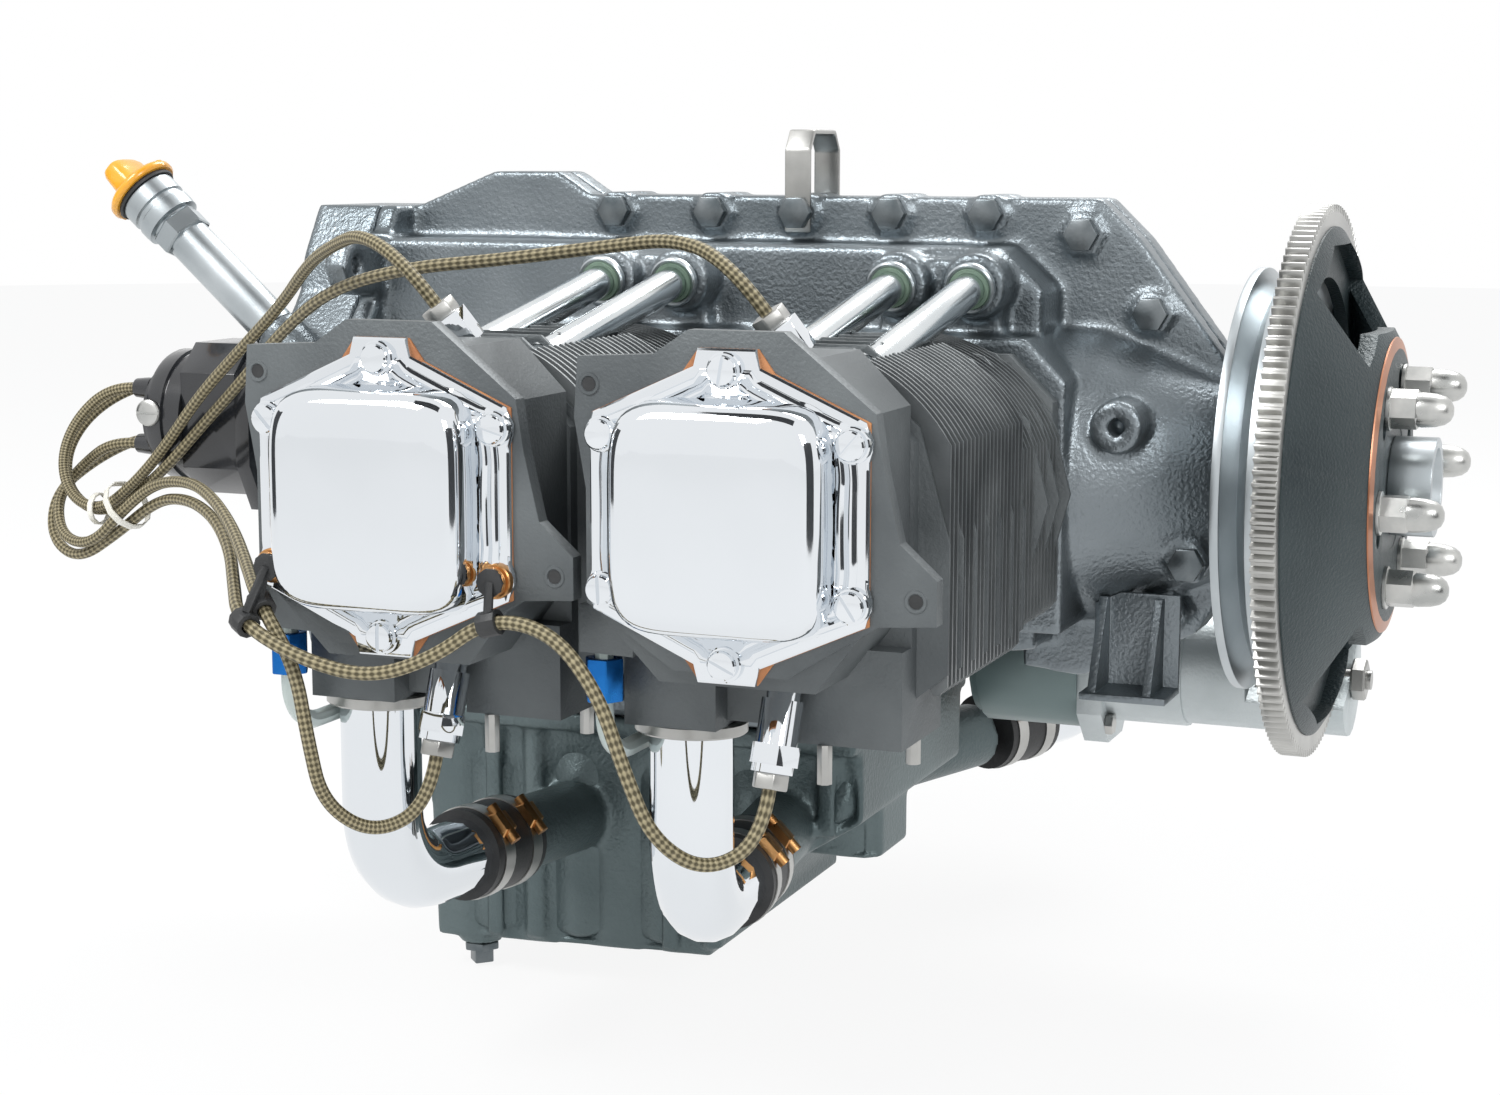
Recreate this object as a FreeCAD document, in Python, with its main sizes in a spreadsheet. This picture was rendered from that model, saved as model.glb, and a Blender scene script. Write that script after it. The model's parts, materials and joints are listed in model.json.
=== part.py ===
import FreeCAD, Part
import math
import os
import re

import Sketcher

# A horizontally opposed, air-cooled, four-cylinder aircraft engine, all sizes in millimetres.
# +X points forward to the propeller, +Y to the engine's left side, +Z up.
# The origin is the centre of the four mounting lugs, on their rear face.
# The crankshaft axis is the X axis.

Vector = FreeCAD.Vector
doc = FreeCAD.newDocument("flat_engine")

SIZES = {
    # crankshaft line, measured forward of the mounting plane
    "gear_face_x": 600.0,
    "ring_wide": 13.0,
    "ring_module": 2.1167,
    "ring_teeth": 149,
    "ring_bore_r": 147.0,
    "pulley_rear_x": 558.0,
    "pulley_wide": 24.0,
    "pulley_r": 123.0,
    "pulley_groove": 15.0,
    "nose_x": 553.0,
    "nose_r": 58.0,
    "hub_face_x": 639.0,
    "hub_plate": 8.0,
    "hub_r": 80.0,
    "cone_front_r": 86.0,
    "cone_wall": 8.0,
    "window_half_deg": 40.0,
    "pilot_r": 28.6,
    "pilot_out": 24.0,
    "register_r": 27.4,
    "face_relief": 0.5,
    "flange_r": 76.0,
    "flange_thick": 10.0,
    "prop_bolt_circle_r": 60.3,
    "prop_bolts": 6,
    "prop_stud_r": 6.35,
    "prop_nut_r": 11.2,
    "prop_bolt_turn_deg": 8.0,
    "journal_r": 30.1,
    "pin_r": 27.0,
    "pin_long": 42.0,
    "throw": 49.2,
    "web_thick": 13.0,
    "web_half_wide": 36.0,
    "running_gap": 0.06,
    "face_gap": 0.3,
    # cylinders
    "cyl_pitch": 183.1,
    "cyl_one_x": 388.6,
    "bank_stagger": 55.0,
    "bore_r": 65.1,
    "barrel_r": 70.0,
    "spigot_in": 84.0,
    "deck": 92.0,
    "base_thick": 12.0,
    "base_half": 76.0,
    "core_r": 72.0,
    "barrel_fin_r": 89.0,
    "barrel_fins": 3,
    "barrel_fin_pitch": 23.0,
    "fin_thick": 2.4,
    "head_start": 184.0,
    "head_core": 68.0,
    "head_fin_top": 97.0,
    "head_fin_side": 84.0,
    "head_fin_low": 96.0,
    "head_fins": 7,
    "head_fin_pitch": 22.0,
    "chamber_top": 276.0,
    "box_start": 326.0,
    "cover_plane": 394.0,
    "flange_plate": 9.0,
    "cover_centre": 19.2,
    "cover_half_wide": 70.0,
    "cover_half_tall": 64.0,
    "cover_ear": 79.0,
    "cover_ear_half": 15.0,
    "gasket_thick": 1.2,
    "cover_rim": 4.0,
    "cover_dome": 25.0,
    "cover_wall": 2.0,
    "dome_half_wide": 54.0,
    "dome_half_tall": 55.0,
    "screw_top": 69.0,
    "screw_side_u": 62.8,
    "screw_side_v": 37.1,
    "screw_r": 5.6,
    "exhaust_u": 41.0,
    "exhaust_w": 309.0,
    "exhaust_r": 20.0,
    "exhaust_face": 99.0,
    "stud_reach": 31.6,
    "stud_r": 4.0,
    "intake_u": -57.0,
    "intake_w": 306.0,
    "intake_face": 99.0,
    "intake_r": 22.0,
    "plug_u": -6.0,
    "plug_w": 333.0,
    "plug_r": 8.5,
    # piston
    "piston_gap": 0.3,
    "piston_tall": 84.0,
    "crown_top": 270.0,
    "piston_wall": 7.0,
    "wrist_pin_r": 14.3,
    # pushrods
    "tube_spread": 23.5,
    "tube_boss_v": 113.0,
    "tube_boss_w": 88.0,
    "tube_low_v": 66.0,
    "tube_low_w": 338.0,
    "tube_r": 9.5,
    "tube_bore_r": 8.6,
    "tube_seal_r": 14.5,
    "tube_boss_r": 19.0,
    # crankcase
    "case_top": 162.0,
    "case_low": 150.0,
    "case_rear_wall": 14.0,
    "chamber_r": 84.0,
    "flange_half": 20.0,
    "cam_shaft_r": 11.0,
    "cam_base_r": 15.0,
    "cam_lift": 8.0,
    "cam_lobe_wide": 16.0,
    "cam_tunnel_r": 26.0,
    "case_bolt_r": 6.0,
    "case_head_r": 10.5,
    "lug_y": 95.0,
    "lug_z": 118.0,
    "lug_r": 19.0,
    "lug_bore_r": 5.6,
    "lug_thick": 16.0,
    # accessory drive
    "drive_module": 2.6667,
    "crank_teeth": 12,
    "idler_teeth": 32,
    "cam_teeth": 24,
    "magneto_teeth": 12,
    "drive_wide": 8.0,
    "drive_gap": 4.0,
    "magneto_y": 88.0,
    "magneto_z": 19.0,
    "housing_deep": 46.0,
    "housing_wall": 6.0,
    "magneto_shaft_r": 7.0,
    "magneto_body": 42.0,
    "magneto_half_wide": 39.0,
    "magneto_half_tall": 48.0,
    "magneto_flange": 10.0,
    "magneto_hollow_r": 21.0,
    "magneto_cap_r": 43.0,
    "magneto_cap_long": 36.0,
    "outlet_r": 6.5,
    "outlet_out": 12.0,
    "outlet_spread": 18.0,
    "housing_top": 154.0,
    "housing_half": 114.0,
    "housing_low": 140.0,
    "housing_rear_wall": 16.0,
    "idler_pin_r": 6.0,
    "tail_r": 10.0,
    # oil system
    "sump_gasket": 1.0,
    "sump_wall": 5.0,
    "sump_half": 100.0,
    "sump_deep": 306.0,
    "sump_rail": 12.0,
    "carb_half": 34.0,
    "sump_long": 352.0,
    "plug_x": 90.0,
    "plug_y": 84.0,
    "filler_x": 42.0,
    "filler_y": 100.0,
    "filler_z": 77.0,
    "filler_tilt": 48.2,
    "filler_boss": 32.0,
    "filler_r": 14.0,
    "filler_wall": 2.5,
    "filler_long": 124.0,
    "filler_neck_r": 19.0,
    "filler_neck": 26.0,
    "cap_r": 24.0,
    "cap_tall": 28.0,
    "dipstick_r": 2.5,
    "return_r": 5.0,
    "return_u": -86.0,
    "return_w": 349.0,
    # induction
    "pipe_wall": 1.5,
    "spigot_long": 88.0,
    "pipe_drop": 207.0,
    "pipe_bend": 45.0,
    "pipe_end": 100.0,
    "hose_thick": 4.5,
    "hose_long": 52.0,
    "hose_gap": 0.15,
    # starter
    "starter_y": 100.0,
    "starter_z": 135.0,
    "motor_r": 44.0,
    "motor_rear_x": 374.0,
    "motor_front_x": 440.0,
    "starter_flange": 16.0,
    "starter_case_r": 38.0,
    "starter_nose_r": 36.0,
    "starter_nose_x": 605.0,
    "pinion_x": 560.0,
    "pinion_shaft_r": 6.0,
    "pinion_teeth": 10,
    "pinion_wide": 14.0,
    # lifting eye and bracket
    "eye_x": 282.0,
    "eye_wide": 17.0,
    "bracket_x": 478.0,
    "bracket_long": 50.0,
    # ignition leads
    "lead_r": 3.5,
}

sheet = doc.addObject("Spreadsheet::Sheet", "dim")
for row, (alias, amount) in enumerate(SIZES.items(), start=1):
    sheet.set(f"A{row}", alias)
    sheet.set(f"B{row}", str(amount))
    sheet.setAlias(f"B{row}", alias)
doc.recompute()


def bound(text):
    """Write a size expression with each name read from the sheet."""
    return re.sub(r"[a-z][a-z_]*", lambda word: "dim." + word.group() if word.group() in SIZES else word.group(),
                  str(text))


def size(text):
    """The value of a size expression, in millimetres or as a plain number."""
    return float(sheet.evalExpression(bound(text)))


# ---------------------------------------------------------------- building helpers

def bind(thing, prop, text):
    setattr(thing, prop, size(text))
    thing.setExpression(prop, bound(text))


def new_body(label):
    body = doc.addObject("PartDesign::Body", label)
    body.Label = label
    return body


def datum(body, role):
    return next(item for item in body.Origin.OriginFeatures if item.Role == role)


def turned_to(direction):
    return FreeCAD.Rotation(Vector(0, 0, 1), Vector(*map(size, direction)))


def add_outline(sketch, loop):
    """Draw a closed loop: ("circle", x, y, radius) or a list of (x, y) corners, all size expressions."""
    if loop[0] == "circle":
        _, x, y, radius = loop
        circle = sketch.addGeometry(Part.Circle(Vector(size(x), size(y), 0), Vector(0, 0, 1), size(radius)))
        for kind, text in (("DistanceX", x), ("DistanceY", y)):
            rule = sketch.addConstraint(Sketcher.Constraint(kind, -1, 1, circle, 3, size(text)))
            sketch.setExpression(f"Constraints[{rule}]", bound(text))
        rule = sketch.addConstraint(Sketcher.Constraint("Radius", circle, size(radius)))
        sketch.setExpression(f"Constraints[{rule}]", bound(radius))
        return
    corners = [Vector(size(x), size(y), 0) for x, y in loop]
    count = len(corners)
    lines = [
        sketch.addGeometry(Part.LineSegment(corners[i], corners[(i + 1) % count]))
        for i in range(count)
    ]
    for i, line in enumerate(lines):
        sketch.addConstraint(Sketcher.Constraint("Coincident", line, 2, lines[(i + 1) % count], 1))
    for line, (x, y), corner in zip(lines, loop, corners):
        for kind, text, amount in (("DistanceX", x, corner.x), ("DistanceY", y, corner.y)):
            rule = sketch.addConstraint(Sketcher.Constraint(kind, -1, 1, line, 1, amount))
            sketch.setExpression(f"Constraints[{rule}]", bound(text))


def add_sketch(body, plane, loops, start="0"):
    """A sketch on a plane of the body: start is its height, or a (point, direction) pair for a slanted one."""
    sketch = body.newObject("Sketcher::SketchObject", body.Name + "_sketch")
    sketch.AttachmentSupport = [(datum(body, plane), "")]
    sketch.MapMode = "FlatFace"
    if isinstance(start, tuple):
        point, direction = start
        sketch.AttachmentOffset = FreeCAD.Placement(Vector(*map(size, point)), turned_to(direction))
        for axis, text in zip("xyz", point):
            sketch.setExpression(f"AttachmentOffset.Base.{axis}", bound(text))
    else:
        sketch.AttachmentOffset = FreeCAD.Placement(Vector(0, 0, size(start)), FreeCAD.Rotation())
        sketch.setExpression("AttachmentOffset.Base.z", bound(start))
    for loop in loops:
        add_outline(sketch, loop)
    return sketch


def pad(body, plane, loops, length, start="0", backward=False):
    feature = body.newObject("PartDesign::Pad", body.Name + "_pad")
    feature.Profile = add_sketch(body, plane, loops, start)
    bind(feature, "Length", length)
    feature.Reversed = backward
    return feature


def pocket(body, plane, loops, length, start="0", backward=False):
    """Cut along the plane's normal from start, or against it; the volume has to fall."""
    doc.recompute()
    before = body.Shape.Volume
    feature = body.newObject("PartDesign::Pocket", body.Name + "_pocket")
    feature.Profile = add_sketch(body, plane, loops, start)
    bind(feature, "Length", length)
    feature.Reversed = not backward
    doc.recompute()
    if body.Shape.Volume > before - 1:
        raise ValueError(f"a pocket in {body.Label} cuts nothing")
    return feature


def turn(body, profile, plane="XZ_Plane", axis="X_Axis", cut=False):
    """Revolve a profile about one of the body's axes, as a solid or as a groove."""
    doc.recompute()
    before = body.Shape.Volume if cut else 0
    kind = "PartDesign::Groove" if cut else "PartDesign::Revolution"
    feature = body.newObject(kind, body.Name + "_turn")
    feature.Profile = add_sketch(body, plane, [profile])
    feature.ReferenceAxis = (datum(body, axis), [""])
    feature.Angle = 360
    doc.recompute()
    if cut and body.Shape.Volume > before - 1:
        raise ValueError(f"a groove in {body.Label} cuts nothing")
    return feature


def repeat(body, features, axis, pitch, count):
    """A row of the features along an axis of the body, so many at this pitch."""
    pattern = body.newObject("PartDesign::LinearPattern", body.Name + "_row")
    pattern.Originals = features
    pattern.Direction = (datum(body, axis), [""])
    bind(pattern, "Length", f"{pitch}*({count}-1)")
    pattern.Occurrences = int(size(count))
    pattern.setExpression("Occurrences", bound(count))
    body.Tip = pattern
    return pattern


def ring(body, features, axis, count):
    """The features turned about an axis of the body, evenly all round."""
    pattern = body.newObject("PartDesign::PolarPattern", body.Name + "_ring")
    pattern.Originals = features
    pattern.Axis = (datum(body, axis), [""])
    pattern.Angle = 360
    pattern.Occurrences = int(size(count))
    pattern.setExpression("Occurrences", bound(count))
    body.Tip = pattern
    return pattern


def round_edges(body, radius, chosen):
    """Fillet each edge of the body that the test picks."""
    doc.recompute()
    edges = [f"Edge{i}" for i, edge in enumerate(body.Shape.Edges, start=1) if chosen(edge)]
    if not edges:
        raise ValueError(f"no edge of {body.Label} to round")
    base = body.Tip
    feature = body.newObject("PartDesign::Fillet", body.Name + "_round")
    feature.Base = (base, edges)
    bind(feature, "Radius", radius)
    doc.recompute()
    return feature


def along(edge, direction):
    """Whether an edge is straight and runs along a direction."""
    if edge.Curve.TypeId != "Part::GeomLine":
        return False
    return abs(edge.tangentAt(edge.FirstParameter).dot(Vector(*direction))) > 0.999


def local_shape(thing):
    shape = thing.Shape.copy()
    shape.Placement = FreeCAD.Placement()
    return shape


def placed(shape, place):
    copy = shape.copy()
    copy.Placement = place.multiply(copy.Placement)
    return copy


def group(label, shapes):
    """One node of separate solids."""
    feature = doc.addObject("Part::Feature", label)
    feature.Label = label
    feature.Shape = shapes[0] if len(shapes) == 1 else Part.makeCompound(shapes)
    return feature


def rod(start, end, radius, bore=0.0):
    """A round bar or tube between two points."""
    start = Vector(*start)
    run = Vector(*end) - start
    bar = Part.makeCylinder(radius, run.Length, start, run)
    if bore:
        bar = bar.cut(Part.makeCylinder(bore, run.Length, start, run))
    return bar


def hexagon(start, end, radius, sides=6):
    """A prism with a regular outline between two points."""
    start = Vector(*start)
    run = Vector(*end) - start
    outline = Part.makePolygon([
        Vector(radius * math.cos(math.tau * i / sides), radius * math.sin(math.tau * i / sides), 0)
        for i in range(sides + 1)
    ])
    prism = Part.Face(outline).extrude(Vector(0, 0, run.Length))
    prism.Placement = FreeCAD.Placement(start, FreeCAD.Rotation(Vector(0, 0, 1), run))
    return prism


def sleeve(start, end, radius, bore, sides=16):
    """A tube with flat facets, the outer ones within the radius and the inner ones clear of the bore."""
    clear = bore / math.cos(math.pi / sides)
    return hexagon(start, end, radius, sides).cut(hexagon(start, end, clear, sides))


# ---------------------------------------------------------------- where the cylinders stand

OUTWARD = FreeCAD.Rotation(Vector(1, 0, 0), 90)
HALF_TURN = FreeCAD.Rotation(Vector(0, 0, 1), 180)


def cylinder_place(number):
    """Odd cylinders are on the right, even ones on the left; 1 and 2 are in front.

    In a cylinder's own frame x runs fore and aft, y up and z outward from the crankshaft axis.
    """
    row = (number - 1) // 2
    left = number % 2 == 0
    x = size(f"cyl_one_x - {row}*cyl_pitch") - (size("bank_stagger") if left else 0)
    turned = HALF_TURN.multiply(OUTWARD) if left else OUTWARD
    return FreeCAD.Placement(Vector(x, 0, 0), turned)


CYLINDERS = {number: cylinder_place(number) for number in (1, 2, 3, 4)}
CYL_X = {number: place.Base.x for number, place in CYLINDERS.items()}


def on_each(label, pieces, numbers=(1, 2, 3, 4)):
    """A node with the same pieces on each cylinder."""
    return group(label, [placed(piece, CYLINDERS[n]) for n in numbers for piece in pieces])


# ---------------------------------------------------------------- where the drive gears stand

def idler_spot():
    """An idler stands as far from the crankshaft as from its magneto, on the upper side."""
    reach = size("drive_module*(crank_teeth + idler_teeth)/2")
    half = math.hypot(size("magneto_y"), size("magneto_z")) / 2
    rise = math.sqrt(reach ** 2 - half ** 2)
    lean_y, lean_z = size("magneto_z") / (2 * half), size("magneto_y") / (2 * half)
    return size("magneto_y") / 2 - rise * lean_y, size("magneto_z") / 2 + rise * lean_z


IDLER_Y, IDLER_Z = idler_spot()
CAM_REACH = size("drive_module*(cam_teeth + idler_teeth)/2")
CAM_Z = IDLER_Z + math.sqrt(CAM_REACH ** 2 - IDLER_Y ** 2)
CAM_HIGH = f"{CAM_Z:.6f}"


# ---------------------------------------------------------------- cylinders

def arc_corners(half_wide, top, side_low, low, low_half, steps=5):
    """A fin outline: a half-round top, straight sides and a bottom with sloping corners."""
    corners = []
    for i in range(steps + 1):
        turned = f"{180 * i / steps:g}"
        corners.append((f"{half_wide}*cos({turned}deg)", f"{top}*sin({turned}deg)"))
    corners += [(f"-{half_wide}", f"-{side_low}"), (f"-{low_half}", f"-{low}")]
    corners += [(f"{low_half}", f"-{low}"), (f"{half_wide}", f"-{side_low}")]
    return corners


def regular(radius, sides):
    return [(f"({radius})*cos({360 * i / sides:g}deg)", f"({radius})*sin({360 * i / sides:g}deg)")
            for i in range(sides)]


def clipped(half_wide, half_tall, clip, centre="0"):
    """A rectangle with its corners cut off, about (0, centre)."""
    inner_u = f"({half_wide} - {clip})"
    inner_v = f"({half_tall} - {clip})"
    points = []
    for su, sv, first in ((1, 1, True), (-1, 1, False), (-1, -1, True), (1, -1, False)):
        along_top = (f"{su}*{inner_u}", f"{centre} + {sv}*{half_tall}")
        along_side = (f"{su}*{half_wide}", f"{centre} + {sv}*{inner_v}")
        points += [along_side, along_top] if first else [along_top, along_side]
    return points


COVER_OUTLINE = [
    ("cover_ear_half", "cover_centre + cover_ear"),
    ("-cover_ear_half", "cover_centre + cover_ear"),
    ("-cover_ear_half - 8", "cover_centre + cover_half_tall + 4"),
    ("-cover_half_wide", "cover_centre + screw_side_v + 10"),
    ("-cover_half_wide", "cover_centre - screw_side_v - 10"),
    ("-cover_ear_half - 8", "cover_centre - cover_half_tall - 4"),
    ("-cover_ear_half", "cover_centre - cover_ear"),
    ("cover_ear_half", "cover_centre - cover_ear"),
    ("cover_ear_half + 8", "cover_centre - cover_half_tall - 4"),
    ("cover_half_wide", "cover_centre - screw_side_v - 10"),
    ("cover_half_wide", "cover_centre + screw_side_v + 10"),
    ("cover_ear_half + 8", "cover_centre + cover_half_tall + 4"),
]

HEAD_PLATE = [
    ("cover_ear_half + 12", "cover_centre + cover_ear + 8"),
    ("-cover_ear_half - 6", "cover_centre + cover_ear + 8"),
    ("-cover_ear_half - 24", "cover_centre + cover_ear - 4"),
    ("-cover_half_wide - 8", "cover_centre + cover_ear - 6"),
    ("-cover_half_wide - 10", "cover_centre + 44"),
    ("-cover_half_wide - 4", "cover_centre + 10"),
    ("-cover_half_wide - 4", "cover_centre - screw_side_v - 8"),
    ("-cover_ear_half - 14", "cover_centre - cover_ear + 4"),
    ("cover_ear_half + 14", "cover_centre - cover_ear + 4"),
    ("cover_half_wide + 4", "cover_centre - screw_side_v - 10"),
    ("cover_half_wide + 32", "cover_centre - screw_side_v - 8"),
    ("cover_half_wide + 32", "cover_centre - 24"),
    ("cover_half_wide + 14", "cover_centre - 8"),
    ("cover_half_wide + 6", "cover_centre + 26"),
    ("cover_half_wide + 2", "cover_centre + screw_side_v + 14"),
]


def make_cylinder():
    """The steel barrel, shrunk for good into its finned aluminium head: one piece on the bench."""
    body = new_body("cylinder_1")
    pad(body, "XY_Plane", [("circle", "0", "0", "barrel_r")], "deck - spigot_in", "spigot_in")
    pad(body, "XY_Plane", [clipped("base_half", "base_half", "26")], "base_thick", "deck")
    pad(body, "XY_Plane", [regular("core_r", 12)], "head_start - deck - base_thick", "deck + base_thick")
    fin = pad(body, "XY_Plane", [regular("barrel_fin_r", 12)], "fin_thick", "deck + base_thick + 5")
    repeat(body, [fin], "Z_Axis", "barrel_fin_pitch", "barrel_fins")
    pad(body, "XY_Plane", [clipped("head_core", "head_core", "18")], "box_start - head_start", "head_start")
    fin = pad(
        body,
        "XY_Plane",
        [arc_corners("head_fin_side", "head_fin_top", "64", "head_fin_low", "44")],
        "fin_thick",
        "head_start",
    )
    repeat(body, [fin], "Z_Axis", "head_fin_pitch", "head_fins")
    pad(body, "XY_Plane", [clipped("cover_half_wide - 4", "cover_ear - 4", "26", "cover_centre")],
        "cover_plane - box_start - flange_plate", "box_start")
    pad(body, "XY_Plane", [HEAD_PLATE], "flange_plate", "cover_plane - flange_plate")
    # exhaust and intake port necks, facing down
    neck = [("exhaust_u - 27", "exhaust_w + 31"), ("exhaust_u - 27", "exhaust_w - 31"),
            ("exhaust_u + 27", "exhaust_w - 31"), ("exhaust_u + 27", "exhaust_w + 31")]
    pad(body, "XZ_Plane", [neck], "exhaust_face - 50", "50")
    neck = [("intake_u - 25", "intake_w + 28"), ("intake_u - 25", "intake_w - 28"),
            ("intake_u + 25", "intake_w - 28"), ("intake_u + 25", "intake_w + 28")]
    pad(body, "XZ_Plane", [neck], "intake_face - 50", "50")
    # the top spark plug's boss
    boss = [("plug_u - 4", "plug_w - 34"), ("plug_u + 26", "plug_w - 34"),
            ("plug_u + 26", "plug_w - 6"), ("plug_u - 4", "plug_w - 6")]
    pad(body, "XZ_Plane", [boss], "34", "-92")
    # the boss that the oil return leaves from
    boss = [("return_u - 9", "return_w - 10"), ("-cover_half_wide + 6", "return_w - 14"),
            ("-cover_half_wide + 6", "return_w + 14"), ("return_u - 9", "return_w + 10")]
    pad(body, "XZ_Plane", [boss], "24", "34")
    pocket(body, "XZ_Plane", [("circle", "exhaust_u", "exhaust_w", "exhaust_r")], "46", "exhaust_face", True)
    pocket(body, "XZ_Plane", [("circle", "intake_u", "intake_w", "intake_r - 3")], "38", "intake_face", True)
    pocket(body, "XY_Plane", [("circle", "0", "0", "bore_r")], "chamber_top - spigot_in", "spigot_in")
    # the pushrod tubes' way through the fins
    for side in ("", "-"):
        high = (f"{side}tube_spread", "tube_boss_v", "tube_boss_w")
        way = ("0", "tube_low_v - tube_boss_v", "tube_low_w - tube_boss_w")
        pocket(body, "XY_Plane", [regular("tube_r + 1", 8)], "box_start - tube_boss_w + 4", (high, way))
    doc.recompute()
    return body


def make_cover():
    """A pressed steel rocker cover: flat rim with ears, and a hollow box whose edges are bevelled soft."""
    body = new_body("rocker_cover_1")
    base = "cover_plane + gasket_thick"
    pad(body, "XY_Plane", [COVER_OUTLINE], "cover_rim", base)
    shells = ((0, "cover_dome - 9", "0"), (3, "5", "cover_dome - 9"), (8, "4", "cover_dome - 4"))
    for inset, tall, up in shells:
        outline = clipped(f"dome_half_wide - {inset}", f"dome_half_tall - {inset}", "20", "cover_centre")
        pad(body, "XY_Plane", [outline], tall, f"{base} + cover_rim + {up}")
    hollow = clipped("dome_half_wide - cover_wall - 8", "dome_half_tall - cover_wall - 8", "18", "cover_centre")
    pocket(body, "XY_Plane", [hollow], "cover_rim + cover_dome - cover_wall", base)
    return body


def make_gasket():
    """A thin sheet frame between head and rocker cover."""
    outer = [Vector(size(u), size(v), size("cover_plane")) for u, v in COVER_OUTLINE]
    inner = clipped("dome_half_wide - 8", "dome_half_tall - 8", "16", "cover_centre")
    inner = [Vector(size(u), size(v), size("cover_plane")) for u, v in inner]
    faces = [Part.Face(Part.makePolygon(loop + loop[:1])) for loop in (outer, inner)]
    depth = Vector(0, 0, size("gasket_thick"))
    return faces[0].extrude(depth).cut(faces[1].extrude(depth))


def cover_screws():
    """Six pan-head screws on one cover's rim."""
    low = size("cover_plane + gasket_thick + cover_rim")
    centre = size("cover_centre")
    u, v = size("screw_side_u"), size("screw_side_v")
    spots = [(0, size("screw_top")), (0, -size("screw_top")), (u, v), (u, -v), (-u, v), (-u, -v)]
    return [hexagon((x, centre + y, low), (x, centre + y, low + 4), size("screw_r"), 8) for x, y in spots]


def base_nuts():
    """The eight nuts that hold one cylinder to the crankcase, four large and four small."""
    low = size("deck + base_thick")
    near, far = size("base_half - 9"), size("base_half - 33")
    spots = [(near, far), (near, -far), (-near, far), (-near, -far)]
    nuts = [hexagon((x, y, low), (x, y, low + 5), 7.5) for x, y in spots]
    return nuts + [hexagon((y, x, low), (y, x, low + 5), 7.5) for x, y in spots]


# ---------------------------------------------------------------- pushrod tubes

def tube_line(side):
    """Both ends of a pushrod tube in the cylinder's frame; side is 1 in front and -1 behind."""
    u = side * size("tube_spread")
    high = Vector(u, size("tube_boss_v"), size("tube_boss_w"))
    low = Vector(u, size("tube_low_v"), size("tube_low_w"))
    return high, low


def pushrod_tubes():
    tubes = []
    for side in (1, -1):
        high, low = tube_line(side)
        slope = (high.y - low.y) / (low.z - high.z)
        depth = size("tube_low_w - box_start") + size("tube_r") * slope
        stop = low + (high - low) * (depth / (low.z - high.z))
        start = high + (low - high).normalize() * 2
        tubes.append(sleeve(start, stop, size("tube_r"), size("tube_bore_r"), 12))
    return tubes


def tube_seals():
    """Rubber rings where the tubes enter the crankcase bosses."""
    seals = []
    for side in (1, -1):
        high, low = tube_line(side)
        run = (low - high).normalize()
        seals.append(sleeve(high + run * 3, high + run * 7, size("tube_seal_r"), size("tube_r"), 12))
    return seals


# ---------------------------------------------------------------- crankcase

RIM = [
    ("0", "-case_low"), ("330", "-case_low"), ("372", "-112"), ("462", "-122"), ("530", "-92"),
    ("nose_x", "-nose_r"), ("nose_x", "nose_r"), ("nose_x - 12", "nose_r + 16"), ("492", "139"),
    ("468", "case_top"), ("140", "case_top"), ("118", "case_top + 14"), ("72", "case_top + 14"),
    ("12", "152"), ("0", "152"),
]
# each bolt's place on the seam and how far its seat stands from the parting plane
CASE_BOLTS = [("160", "152", "24"), ("225", "152", "24"), ("282", "152", "24"), ("341", "152", "24"),
              ("401", "152", "24"), ("459", "141", "24"), ("501", "96", "24"), ("534", "-43", "62"),
              ("516", "-78", "36")]


# the upper, outer and lower edge of the accessory housing, on its left half
HOUSING = [("40", "housing_top"), ("60", "122"), ("66", "100"), ("housing_half", "42"), ("housing_half", "-5"),
           ("95", "-60"), ("70", "-96"), ("66", "-125"), ("60", "-housing_low")]


def inset_by(corners, wall):
    """The corners moved in by a wall, sideways and at the top and bottom."""
    moved = [(f"{y} - {wall}", z) for y, z in corners]
    moved[0] = (moved[0][0], f"{corners[0][1]} - {wall}")
    moved[-1] = (moved[-1][0], f"{corners[-1][1]} + {wall}")
    return moved


def half_of(corners, left):
    """The outline of one side, closed along the middle plane."""
    side = corners if left else [(f"-({y})", z) for y, z in corners]
    return [("0", corners[0][1])] + side + [("0", corners[-1][1])]


def mirrored(corners):
    return corners + [(f"-({y})", z) for y, z in reversed(corners)]


def cylinder_x(number):
    """The size expression of a cylinder's place along the engine."""
    stagger = " - bank_stagger" if number % 2 == 0 else ""
    return f"cyl_one_x - {(number - 1) // 2}*cyl_pitch{stagger}"


def lug_outline(y, z, inner):
    """An ear round a mounting bolt, reaching in to the case."""
    return [(inner, f"{z} - lug_r"), (y, f"{z} - lug_r"), (f"{y} + ({y} - {inner})/50*12", f"{z} - 12"),
            (f"{y} + ({y} - {inner})/50*18", z), (f"{y} + ({y} - {inner})/50*12", f"{z} + 12"),
            (y, f"{z} + lug_r"), (inner, f"{z} + lug_r")]


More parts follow.
